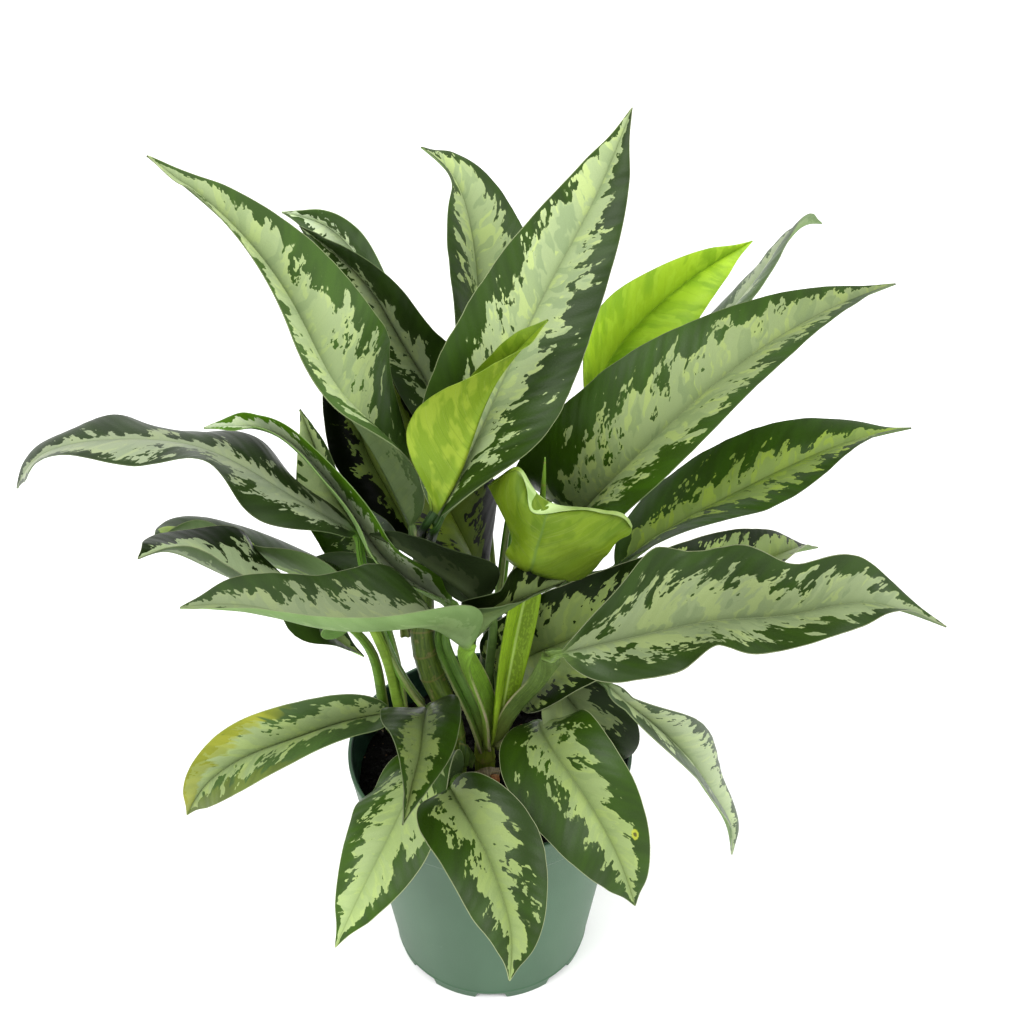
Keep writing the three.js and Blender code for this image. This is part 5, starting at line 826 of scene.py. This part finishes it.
        # the petiole, whose colour for each leaf also paints in its light or shade
        red, green, blue = look.get("stalk", (0.085, 0.140, 0.038))
        grain = g.noise(g.xyz(g.mul(u, 0.05), g.mul(v, 1.5), seed), 1.0, 3.0, 0.6)
        mottle = g.noise(g.xyz(g.mul(u, 0.42), g.mul(v, 0.9), seed), 1.0, 2.0, 0.6)
        shade = lambda k, b=1.0: (red * k, green * k, blue * k * b, 1.0)
        stalk = g.mix(g.ramp(grain, 0.35, 0.65), shade(0.78), shade(1.22))
        stalk = g.mix(g.mul(g.ramp(mottle, 0.54, 0.60), 0.5), stalk, shade(0.70, 1.3))
        # painted light and shade on the petiole: past the ridge it is painted darker, as its groove in shade, and a
        # pale line along the ridge is a painted highlight
        if look.get("ridge"):
            at_x, strength = look["ridge"]
            stalk = g.mix(g.mul(g.ramp(x, at_x, at_x + 0.12), g.sub(1.0, g.mul(g.ramp(x, 0.72, 0.9), 0.5))), stalk, g.mix(g.ramp(mottle, 0.48, 0.6), shade(0.48, 1.1), shade(0.72, 1.1)))
            stalk = g.mix(g.mul(g.ramp(g.math("ABSOLUTE", g.sub(x, at_x)), 0.10, 0.02), strength), stalk, (0.50, 0.60, 0.24, 1))
        # yellower where it clasps the stem
        stalk = g.mix(g.mul(g.ramp(t, -0.72, -0.97), 0.45), stalk, (0.19, 0.215, 0.035, 1))
        paper = g.mul(g.ramp(g.sub(half, q), 0.8, 0.3), g.ramp(t, -0.45, -0.75))
        stalk = g.mix(g.mul(paper, look.get("paper", 0.35)), stalk, g.mix(g.ramp(grain, 0.4, 0.6), (0.36, 0.37, 0.17, 1), (0.46, 0.36, 0.26, 1)))
        colour = g.mix(g.ramp(t, 0.045, -0.03), colour, stalk)
        # fine grain over all of it
        grit = g.noise(g.xyz(u, v, seed), 2.2, 2.0, 0.7)
        colour = g.mix(g.ramp(grit, 0.3, 0.7, 0.0, 0.18), colour, g.mix(1.0, colour, (0.60, 0.62, 0.60, 1), "MULTIPLY"))

        rough = g.add(g.lerp(top, 0.58, g.lerp(pale, 0.40, 0.46)), g.mul(g.sub(grit, 0.5), 0.14))
        quilt = g.math("COSINE", g.mul(g.sub(lane, 0.5), 6.2832))
        height = g.add(g.mul(g.mul(quilt, g.ramp(ax, 0.0, 0.25)), -0.05), g.mul(g.noise(g.xyz(u, v, seed), 0.9, 2.0, 0.6), 0.09))
        height = g.add(height, g.mul(g.noise(g.xyz(u, v, seed), 3.6, 1.0, 0.5), 0.02))
        height = g.add(height, g.mul(pale, 0.02))
        return colour, rough, g.bump(height, 0.001, 0.9)

    return new_material(name, build, specular=look.get("gloss", 0.18))


def stem_material(name, low, high, seed, papery=0.5):
    def build(g):
        u, v, _ = g.split(g.attribute("leaf_mm"))[:3]
        at = g.xyz(g.mul(u, 0.08), g.mul(v, 0.9), seed)
        long = g.noise(at, 1.0, 3.0, 0.6)
        colour = g.mix(g.ramp(long, 0.32, 0.68), low, high)
        ring = g.math("FRACT", g.add(g.mul(u, 1 / 13.0), 0.35))
        scar = g.ramp(g.math("ABSOLUTE", g.sub(ring, 0.5)), 0.07, 0.0)
        colour = g.mix(g.mul(scar, 0.55), colour, srgb(116, 104, 56))
        blot = g.noise(g.xyz(g.mul(u, 0.22), g.mul(v, 0.22), seed + 4), 1.0, 3.0, 0.6)
        colour = g.mix(g.mul(g.ramp(blot, 0.56, 0.7), papery), colour, srgb(140, 118, 80))
        height = g.add(g.mul(long, 0.5), g.mul(g.noise(g.xyz(u, v, seed), 1.2, 2.0, 0.6), 0.4))
        return colour, g.ramp(blot, 0.3, 0.7, 0.42, 0.62), g.bump(height, 0.0004, 0.8)

    return new_material(name, build, specular=0.4)


def pot_material():
    def build(g):
        o = g.tree.nodes.new("ShaderNodeTexCoord").outputs["Object"]
        x, y, z = g.split(o)[:3]
        at = g.vector("SCALE", o, 1000.0)
        cloud = g.noise(g.vector("MULTIPLY", at, (0.03, 0.03, 0.012)), 1.0, 3.0, 0.55)
        colour = g.mix(g.ramp(cloud, 0.3, 0.7), srgb(52, 81, 57), srgb(59, 88, 64))
        fine = g.noise(at, 1.6, 2.0, 0.7)
        colour = g.mix(g.mul(g.ramp(fine, 0.35, 0.7), 0.25), colour, srgb(72, 99, 79))
        # a few light scuffs and specks
        angle = g.math("ARCTAN2", y, x)
        around = g.xyz(g.mul(angle, 62.0), g.mul(z, 1000.0), 0.0)
        scuff = g.noise(g.vector("MULTIPLY", g.vector("ADD", around, g.vector("SCALE", g.noise(around, 0.05, 1.0, 0.5, colour=True), 22.0)), (0.06, 1.3, 1.0)), 1.0, 3.0, 0.7)
        scuff = g.mul(g.ramp(scuff, 0.70, 0.76), g.ramp(g.noise(around, 0.035, 1.0, 0.5), 0.52, 0.62))
        colour = g.mix(g.mul(scuff, 0.45), colour, srgb(132, 156, 140))
        specks = g.cells(g.vector("SCALE", around, 0.16), 1.0)
        speck = g.mul(g.ramp(specks["Distance"], 0.05, 0.035), g.math("GREATER_THAN", g.split(specks["Color"])[0], 0.86))
        colour = g.mix(g.mul(speck, 0.5), colour, srgb(140, 160, 146))
        # painted shade: inside it is darker, with a soft mottle
        r = g.math("SQRT", g.add(g.mul(x, x), g.mul(y, y)))
        wall = g.add(0.0537, g.mul(z, (75.5 - 53.7) / POT_HEIGHT))
        inside = g.ramp(g.sub(wall, r), 0.0010, 0.0013)
        inside_shade_mottle = g.noise(g.vector("SCALE", at, 0.18), 1.0, 3.0, 0.6)
        colour = g.mix(inside, colour, g.mix(g.ramp(inside_shade_mottle, 0.4, 0.65), srgb(14, 34, 24), srgb(24, 48, 34)))
        rough = g.add(0.46, g.mul(g.sub(fine, 0.5), 0.16))
        lathe = g.math("SINE", g.mul(z, 6.2832 / 0.0011))
        height = g.add(g.mul(fine, 0.35), g.add(g.mul(lathe, 0.04), g.mul(scuff, -0.5)))
        return colour, rough, g.bump(height, 0.00025, 0.8)

    return new_material("pot_plastic", build, specular=0.26)


def soil_material():
    def build(g):
        o = g.vector("SCALE", g.tree.nodes.new("ShaderNodeTexCoord").outputs["Object"], 1000.0)
        n = g.noise(o, 0.5, 4.0, 0.7)
        # near-black: the soil's own dark colour, made darker still as painted shade under the leaves
        colour = g.mix(g.ramp(n, 0.35, 0.7), srgb(4, 4, 3), srgb(13, 11, 9))
        c = g.cells(g.vector("SCALE", o, 0.42), 1.0)
        bit = g.mul(g.ramp(c["Distance"], 0.34, 0.24), g.math("GREATER_THAN", g.split(c["Color"])[0], 0.94))
        colour = g.mix(bit, colour, g.mix(g.split(c["Color"])[1], srgb(50, 38, 26), srgb(84, 68, 50)))
        return colour, g.ramp(n, 0.3, 0.7, 0.75, 0.95), g.bump(g.add(n, g.mul(c["Distance"], -0.4)), 0.0016, 1.0)

    return new_material("potting_soil", build, specular=0.06)


def bits_material(name, dark, pale):
    def build(g):
        o = g.vector("SCALE", g.tree.nodes.new("ShaderNodeTexCoord").outputs["Object"], 1000.0)
        which = g.split(g.attribute("leaf_mm"))[0]
        n = g.noise(o, 1.4, 3.0, 0.65)
        colour = g.mix(which, dark, pale)
        colour = g.mix(g.mul(g.ramp(n, 0.35, 0.7), 0.5), colour, g.mix(0.5, colour, srgb(16, 13, 11)))
        return colour, g.ramp(n, 0.3, 0.7, 0.7, 0.92), g.bump(n, 0.0006, 0.8)

    return new_material(name, build, specular=0.12)


# ---- leaves --------------------------------------------------------------------------------
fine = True
for d in LEAVES:
    look = LOOKS[d["name"]]
    obj = leaf_object(d, look, *((26, 104, 15) if fine else (16, 60, 10)))
    show(obj, leaf_material(d["name"] + "_finish", look), d["name"])


# ---- stems and the rolled leaf ---------------------------------------------------------------
def tube(name, points, radius_of, sides=28, rows=60, twist=0.0):
    """A closed tube in mm. radius_of(t, angle, arc) gives its radius."""
    t = np.linspace(0, 1, rows)
    c, z = spline(points, t), tangent(points, t)
    ref = np.array([1.0, 0, 0])
    x = unit(ref - (ref * z).sum(-1, keepdims=True) * z)
    y = np.cross(z, x)
    arc = np.concatenate([[0], np.cumsum(np.linalg.norm(np.diff(c, axis=0), axis=1))])
    a = np.linspace(0, 2 * np.pi, sides, endpoint=False)
    r = radius_of(t[:, None], a[None], arc[:, None])
    turn = a[None] + twist * t[:, None]
    p = c[:, None] + (r * np.cos(turn))[..., None] * x[:, None] + (r * np.sin(turn))[..., None] * y[:, None]
    points_out = np.concatenate([p.reshape(-1, 3), c[:1], c[-1:]])
    faces = grid_faces(rows, sides, closed_cols=True)
    n = rows * sides
    i = np.arange(sides)
    low = np.stack([np.full(sides, n), (i + 1) % sides, i], -1)
    high = np.stack([np.full(sides, n + 1), n - sides + i, n - sides + (i + 1) % sides], -1)
    mm = np.stack([np.broadcast_to(arc[:, None], r.shape), r * np.abs(((a[None] / np.pi) + 0 * r) - 1) * np.pi, r], -1).reshape(-1, 3)
    mm = np.concatenate([mm, [[0, 0, 0]], [[arc[-1], 0, 0]]])
    return make_mesh(name, points_out, faces, np.concatenate([low, high]), {"leaf_mm": mm})


# each stem's tones follow how lit it is: the back stem's much darker greens are painted shade
STEM_TONES = {
    "stem_a_front": (srgb(94, 112, 24), srgb(124, 138, 42), 0.45),
    "stem_b_cane": (srgb(58, 80, 18), srgb(88, 110, 32), 0.45),
    "stem_c_back": (srgb(24, 46, 13), srgb(38, 62, 19), 0.3),
    "stem_d_left": (srgb(56, 72, 22), srgb(82, 96, 34), 0.4),
}
for k, s in enumerate(STEMS):
    def radius(t, a, arc, s=s, k=k):
        r = spline(s["radii"], t.ravel())[:, None]
        ring = np.abs(((arc / 13.0 + 0.35) % 1) - 0.5)
        node = 0.35 * np.exp(-((ring / 0.06) ** 2))
        return r * (1 + 0.035 * np.sin(2 * a + k + arc * 0.05) + 0.02 * np.sin(5 * a + arc * 0.11)) + node - 0.1

    low, high, papery = STEM_TONES[s["name"]]
    obj = tube(s["name"] + "_look", s["points"], radius, rows=90 if len(s["points"]) > 6 else 50)
    show(obj, stem_material(s["name"] + "_finish", low, high, 5.0 + k * 7, papery), s["name"])


def rolled(t, a, arc):
    r = spline(SPEAR["radii"], t.ravel())[:, None]
    return r * (1 + 0.10 * (((a / (2 * np.pi)) + t * 0.6) % 1 - 0.5))


spear = tube("spear_look", SPEAR["points"], rolled, sides=28, rows=70)
show(spear, stem_material("spear_finish", srgb(74, 106, 16), srgb(96, 128, 34), 77.0, 0.0), "spear")


# Loose sheaths: a green flap on the cane, and dried ones round the foot of the front stem.
# Each is a net of points, from its top row to its ragged lower one.
FLAKES = {
    "sheath_flap": [[[-15.9, -16.0, 163.8], [-13.2, -16.5, 163.2], [-11.1, -14.1, 157.5], [-10.4, -11.0, 151.6]],
        [[-16.6, -17.9, 157.2], [-12.3, -19.1, 159.2], [-8.7, -16.8, 155.8], [-6.8, -12.0, 147.3]],
        [[-16.7, -17.5, 147.1], [-14.1, -18.4, 147.2], [-11.3, -16.9, 145.2], [-9.5, -13.0, 139.6]]],
    "dry_sheath": [[[-8.6, -8.0, 132.2], [-4.2, -11.4, 138.6], [-0.1, -12.4, 140.8], [4.8, -8.0, 135.3]],
        [[-9.6, -9.0, 131.0], [-3.9, -13.8, 137.5], [-0.4, -15.4, 140.7], [5.6, -10.2, 134.7]],
        [[-8.1, -10.0, 129.8], [-4.4, -14.3, 133.9], [-0.1, -16.9, 137.8], [4.8, -11.0, 131.5]]],
    "dry_scale": [[[-0.5, -14.5, 135.8], [1.4, -15.6, 138.5], [4.8, -13.0, 135.1]],
        [[0.0, -15.6, 134.9], [2.0, -18.5, 137.7], [4.8, -14.8, 134.0]],
        [[0.5, -16.0, 132.1], [2.7, -18.5, 133.8], [4.8, -15.0, 130.3]]],
}
FLAKE_TONES = {
    "sheath_flap": (srgb(38, 60, 14), srgb(66, 88, 26), 0.2),
    "dry_sheath": (srgb(92, 84, 60), srgb(132, 120, 90), 0.3),
    "dry_scale": (srgb(108, 62, 24), srgb(146, 92, 46), 0.1),
}


def flake(name, net, seed, thickness=0.35):
    """A thin curved sheet with an uneven lower edge."""
    t, v = np.linspace(0, 1, 30), np.linspace(-1, 1, 31)
    p, normal, mm = net_surface(net, t, v)
    down = unit(np.gradient(p, axis=0))
    p = p + down * (t**3)[:, None, None] * (0.9 * wobble(v * 3.1, seed) + 0.5 * wobble(v * 9.0, seed + 2))[None, :, None]
    p = p + normal * (0.3 * wobble2(t[:, None] * 4, v[None] * 5, seed + 4))[..., None]
    points, faces = closed_sheet(p + normal * thickness / 2, p - normal * thickness / 2)
    one = np.stack([np.broadcast_to(14 * t[:, None], mm.shape), mm, np.full(mm.shape, 5.0)], -1).reshape(-1, 3)
    return make_mesh(name, points, faces, attributes={"leaf_mm": np.concatenate([one, one])})


for k, (name, net) in enumerate(FLAKES.items()):
    low, high, papery = FLAKE_TONES[name]
    show(flake(name, net, 31 + 5 * k), stem_material(name + "_finish", low, high, 40.0 + k * 9, papery))


# ---- the pot ---------------------------------------------------------------------------------
def outer(z):
    return FOOT_RADIUS + (RIM_RADIUS - RIM_STEP - FOOT_RADIUS) * z / POT_HEIGHT


def round_corner(points, radius, steps=4):
    """A closed or open profile with its corners rounded."""
    out = [points[0]]
    for a, b, c in zip(points[:-2], points[1:-1], points[2:]):
        a, b, c = map(np.array, (a, b, c))
        r = min(radius, 0.45 * np.linalg.norm(b - a), 0.45 * np.linalg.norm(c - b))
        p, q = b + (a - b) / max(np.linalg.norm(a - b), 1e-9) * r, b + (c - b) / max(np.linalg.norm(c - b), 1e-9) * r
        for i in range(steps + 1):
            w = i / steps
            out.append(tuple((1 - w) ** 2 * p + 2 * w * (1 - w) * b + w**2 * q))
    out.append(points[-1])
    return out


def lathe(name, profile, segments=240, shape=None, wavy=None):
    """A closed solid of revolution whose profile runs from the axis round to the axis."""
    pr = np.array(profile, float)
    a = np.linspace(0, 2 * np.pi, segments, endpoint=False)
    inner = pr[1:-1]
    r = np.broadcast_to(inner[:, :1], (len(inner), segments)).copy()
    z = np.broadcast_to(inner[:, 1:], (len(inner), segments)).copy()
    if shape:
        r, z = shape(r, z, a[None])
    p = np.stack([r * np.cos(a), r * np.sin(a), z], -1).reshape(-1, 3)
    n = len(p)
    points = np.concatenate([p, [[0, 0, pr[0, 1]]], [[0, 0, pr[-1, 1]]]])
    faces = grid_faces(len(inner), segments, closed_cols=True)
    i = np.arange(segments)
    j = (i + 1) % segments
    low = np.stack([np.full(segments, n), j, i], -1)
    last = (len(inner) - 1) * segments
    high = np.stack([np.full(segments, n + 1), last + i, last + j], -1)
    return points, faces, np.concatenate([low, high])


def pot_profile():
    b = POT_HEIGHT - RIM_BAND
    steps = [
        (0, 0), (PAD_RADIUS, 0), (PAD_RADIUS, FLOOR_UNDER), (FOOT_RADIUS - FOOT_WALL, FLOOR_UNDER),
        (FOOT_RADIUS - FOOT_WALL, 0), (FOOT_RADIUS - 0.1, 0), (outer(5.0), 5.0), (outer(5.6) + 0.35, 5.6), (outer(6.4) + 0.35, 6.4), (outer(7.2), 7.2),
        (outer(40), 40), (outer(80), 80), (outer(104), 104), (outer(b - 0.9), b - 0.9),
        (outer(b) + RIM_STEP, b), (outer(b + 8) + RIM_STEP, b + 8), (RIM_RADIUS, POT_HEIGHT - 1.6), (RIM_RADIUS - 0.1, POT_HEIGHT),
        (RIM_RADIUS - 2.1, POT_HEIGHT), (RIM_RADIUS - 2.6, POT_HEIGHT - 1.5), (outer(POT_HEIGHT - 5) - WALL, POT_HEIGHT - 5),
        (outer(100) - WALL, 100), (outer(60) - WALL, 60), (outer(FLOOR_TOP + 3) - WALL, FLOOR_TOP + 3), (outer(FLOOR_TOP) - WALL - 2, FLOOR_TOP), (0, FLOOR_TOP),
    ]
    return round_corner(steps, 0.7)


def notched(r, z, a):
    """Raises the foot ring's edge at each notch."""
    step = 2 * np.pi / NOTCHES
    off = np.abs(((a + np.pi / 2 + step / 2) % step) - step / 2) * FOOT_RADIUS
    rise = NOTCH_HEIGHT * np.clip((NOTCH_WIDTH / 2 - off) / 1.6, 0, 1)
    ring = (r > FOOT_RADIUS - FOOT_WALL - 0.9) & (z < NOTCH_HEIGHT + 1.2)
    top = NOTCH_HEIGHT + 1.3
    return r, np.where(ring & (rise > 0), np.maximum(z, rise + (z / top) * (top - rise) * 0.999), z)


# the pot, turned with 720 evenly spaced segments
points, faces, triangles = lathe("pot", pot_profile(), 720, notched)
pot = make_mesh("pot_look", points, faces, triangles)


def drill(obj, cutters):
    """Takes closed cutter meshes out of obj."""
    for cutter in cutters:
        m = obj.modifiers.new("hole", "BOOLEAN")
        m.operation, m.object, m.solver = "DIFFERENCE", cutter, "EXACT"
    graph = bpy.context.evaluated_depsgraph_get()
    made = bpy.data.meshes.new_from_object(obj.evaluated_get(graph))
    obj.modifiers.clear()
    old, obj.data = obj.data, made
    bpy.data.meshes.remove(old)
    for cutter in cutters:
        bpy.data.objects.remove(cutter)


cutters = []
for i in range(DRAIN_HOLES):
    a = 2 * math.pi * (i + 0.5) / DRAIN_HOLES
    p, f, tr = lathe("hole", [(0, 0), (DRAIN_RADIUS, 0), (DRAIN_RADIUS, FLOOR_TOP + 2), (0, FLOOR_TOP + 2)], 32)
    cutters.append(make_mesh("hole_cutter_%d" % i, p + np.array([DRAIN_CIRCLE * math.cos(a), DRAIN_CIRCLE * math.sin(a), 0.5]), f, tr))
drill(pot, cutters)
show(pot, pot_material(), "pot")
sharp = pot.data
angle = math.radians(38)
sharp.set_sharp_from_angle(angle=angle)


# ---- the soil ----------------------------------------------------------------------------------
def soil_height(x, y):
    h = 1.1 * np.sin(x * 0.13 + 1) * np.cos(y * 0.11) + 0.7 * np.sin(x * 0.27 - y * 0.21)
    return h + 0.9 * wobble2(x / 4.1, y / 4.1, 3.0) + 0.55 * wobble2(x / 1.9, y / 1.9, 8.0)


radii = np.concatenate([np.linspace(2, outer(SOIL_TOP) - WALL - 0.5, 70)])[::-1]
low = [(0, FLOOR_TOP + 0.35), (outer(8) - WALL - 2.4, FLOOR_TOP + 0.35), (outer(10) - WALL - 0.4, 10), (outer(60) - WALL - 0.4, 60), (outer(SOIL_TOP - 3) - WALL - 0.4, SOIL_TOP - 3)]
profile = low + [(r, SOIL_TOP) for r in radii] + [(0, SOIL_TOP)]


def heap(r, z, a):
    x, y = r * np.cos(a), r * np.sin(a)
    at_wall = smoothstep(r, outer(SOIL_TOP) - WALL - 7, outer(SOIL_TOP) - WALL)
    top = z > SOIL_TOP - 0.5
    return r, np.where(top, SOIL_TOP - 0.3 + soil_height(x, y) * (1 - 0.3 * at_wall) - 1.2 * at_wall, z)


points, faces, triangles = lathe("soil", profile, 260, heap)
soil = make_mesh("soil_look", points, faces, triangles)
show(soil, soil_material(), "soil")


def scatter(name, count, seed, sizes, pale_share, keep=None):
    """Small rough chips lying on the soil, as one mesh."""
    rng = np.random.default_rng(seed)
    # a chip is a rounded box: a 3 x 3 x 3 shell
    line = np.linspace(-1, 1, 4)
    shell, index = [], {}
    quads = []
    for axis in range(3):
        for end in (-1, 1):
            for i in range(3):
                for j in range(3):
                    q = []
                    for di, dj in ((0, 0), (1, 0), (1, 1), (0, 1)):
                        c = [0.0, 0.0, 0.0]
                        c[axis] = float(end)
                        c[(axis + 1) % 3] = float(line[i + di])
                        c[(axis + 2) % 3] = float(line[j + dj])
                        key = tuple(round(k, 4) for k in c)
                        if key not in index:
                            index[key] = len(shell)
                            shell.append(c)
                        q.append(index[key])
                    quads.append(q if end > 0 else q[::-1])
    shell = np.array(shell)
    ball = shell / np.linalg.norm(shell, axis=1, keepdims=True)
    shell = 0.55 * shell + 0.45 * ball * 1.2
    quads = np.array(quads)
    pts, fcs, att = [], [], []
    n = 0
    while n < count:
        r, a = 72 * math.sqrt(rng.random()), rng.random() * 2 * math.pi
        x, y = r * math.cos(a), r * math.sin(a)
        if r > outer(SOIL_TOP) - WALL - 3.5:
            continue
        size = rng.uniform(*sizes)
        dims = size * np.array([1.0, rng.uniform(0.4, 0.9), rng.uniform(0.25, 0.6)])
        rough = 1 + rng.uniform(-0.22, 0.22, (len(shell), 1))
        local = shell * rough * dims / 2
        turn, tilt = rng.random() * 2 * math.pi, rng.normal() * 0.35
        ct, st, cl, sl = math.cos(turn), math.sin(turn), math.cos(tilt), math.sin(tilt)
        local = local @ np.array([[cl, 0, -sl], [0, 1, 0], [sl, 0, cl]]).T @ np.array([[ct, -st, 0], [st, ct, 0], [0, 0, 1]]).T
        z = SOIL_TOP - 0.3 + float(soil_height(np.array(x), np.array(y))) + dims[2] * 0.2
        pts.append(local + [x, y, z])
        fcs.append(quads + n * len(shell))
        att.append(np.full((len(shell), 3), float(rng.random() < pale_share)))
        n += 1
    return make_mesh(name, np.concatenate(pts), np.concatenate(fcs), attributes={"leaf_mm": np.concatenate(att)})


# the chips' and crumbs' dark tones are near-black: their own dark colour, made darker still as painted shade under the
# leaves
bark = scatter("soil_bark", 420, 4, (1.6, 5.2), 0.05)
show(bark, bits_material("bark_chips", srgb(11, 9, 7), srgb(92, 70, 48)))
crumbs = scatter("soil_crumbs", 700, 9, (0.8, 2.2), 0.05)
show(crumbs, bits_material("soil_crumb", srgb(8, 7, 6), srgb(128, 114, 92)))


# ---- floor, light and camera ------------------------------------------------------------------
def floor_material():
    def build(g):
        o = g.tree.nodes.new("ShaderNodeTexCoord").outputs["Object"]
        n = g.noise(o, 3.0, 2.0, 0.5)
        return g.mix(n, (0.93, 0.93, 0.93, 1), (0.95, 0.95, 0.95, 1)), 0.7, None

    return new_material("studio_floor", build, specular=0.1)


floor = make_mesh("studio_floor", [[-6000, -6000, 0], [6000, -6000, 0], [6000, 9000, 0], [-6000, 9000, 0]], [[0, 1, 2, 3]])
floor.data.materials.append(floor_material())

world = bpy.data.worlds.new("studio")
bpy.context.scene.world = world
world.use_nodes = True
back = next(n for n in world.node_tree.nodes if n.type == "BACKGROUND")
back.inputs["Color"].default_value = (1.0, 1.0, 1.0, 1.0)
back.inputs["Strength"].default_value = WORLD


def area(name, place, target, size, power):
    light = bpy.data.lights.new(name, "AREA")
    light.shape, light.size, light.energy = "DISK", size, power
    obj = bpy.data.objects.new(name, light)
    bpy.context.scene.collection.objects.link(obj)
    obj.location = place
    way = np.array(target, float) - np.array(place, float)
    x, y, z = way / np.linalg.norm(way)
    obj.rotation_euler = (math.acos(max(-1, min(1, -z))), 0, math.atan2(y, x) - math.pi / 2)
    return obj


for name, place, target, size, power in LIGHTS:
    area(name, place, target, size, power)

camera = bpy.data.cameras.new("camera")
camera.lens, camera.sensor_width, camera.sensor_fit = 59.766, 36.0, "HORIZONTAL"
camera.clip_start, camera.clip_end = 0.05, 50.0
eye = bpy.data.objects.new("camera", camera)
bpy.context.scene.collection.objects.link(eye)
eye.location = (0.0116982, -0.6547507, 0.7877513)
eye.rotation_euler = (math.radians(53.3105), 0.0, 0.0)
bpy.context.scene.camera = eye
bpy.context.scene.view_settings.view_transform = "Standard"
bpy.context.scene.view_settings.look = "None"
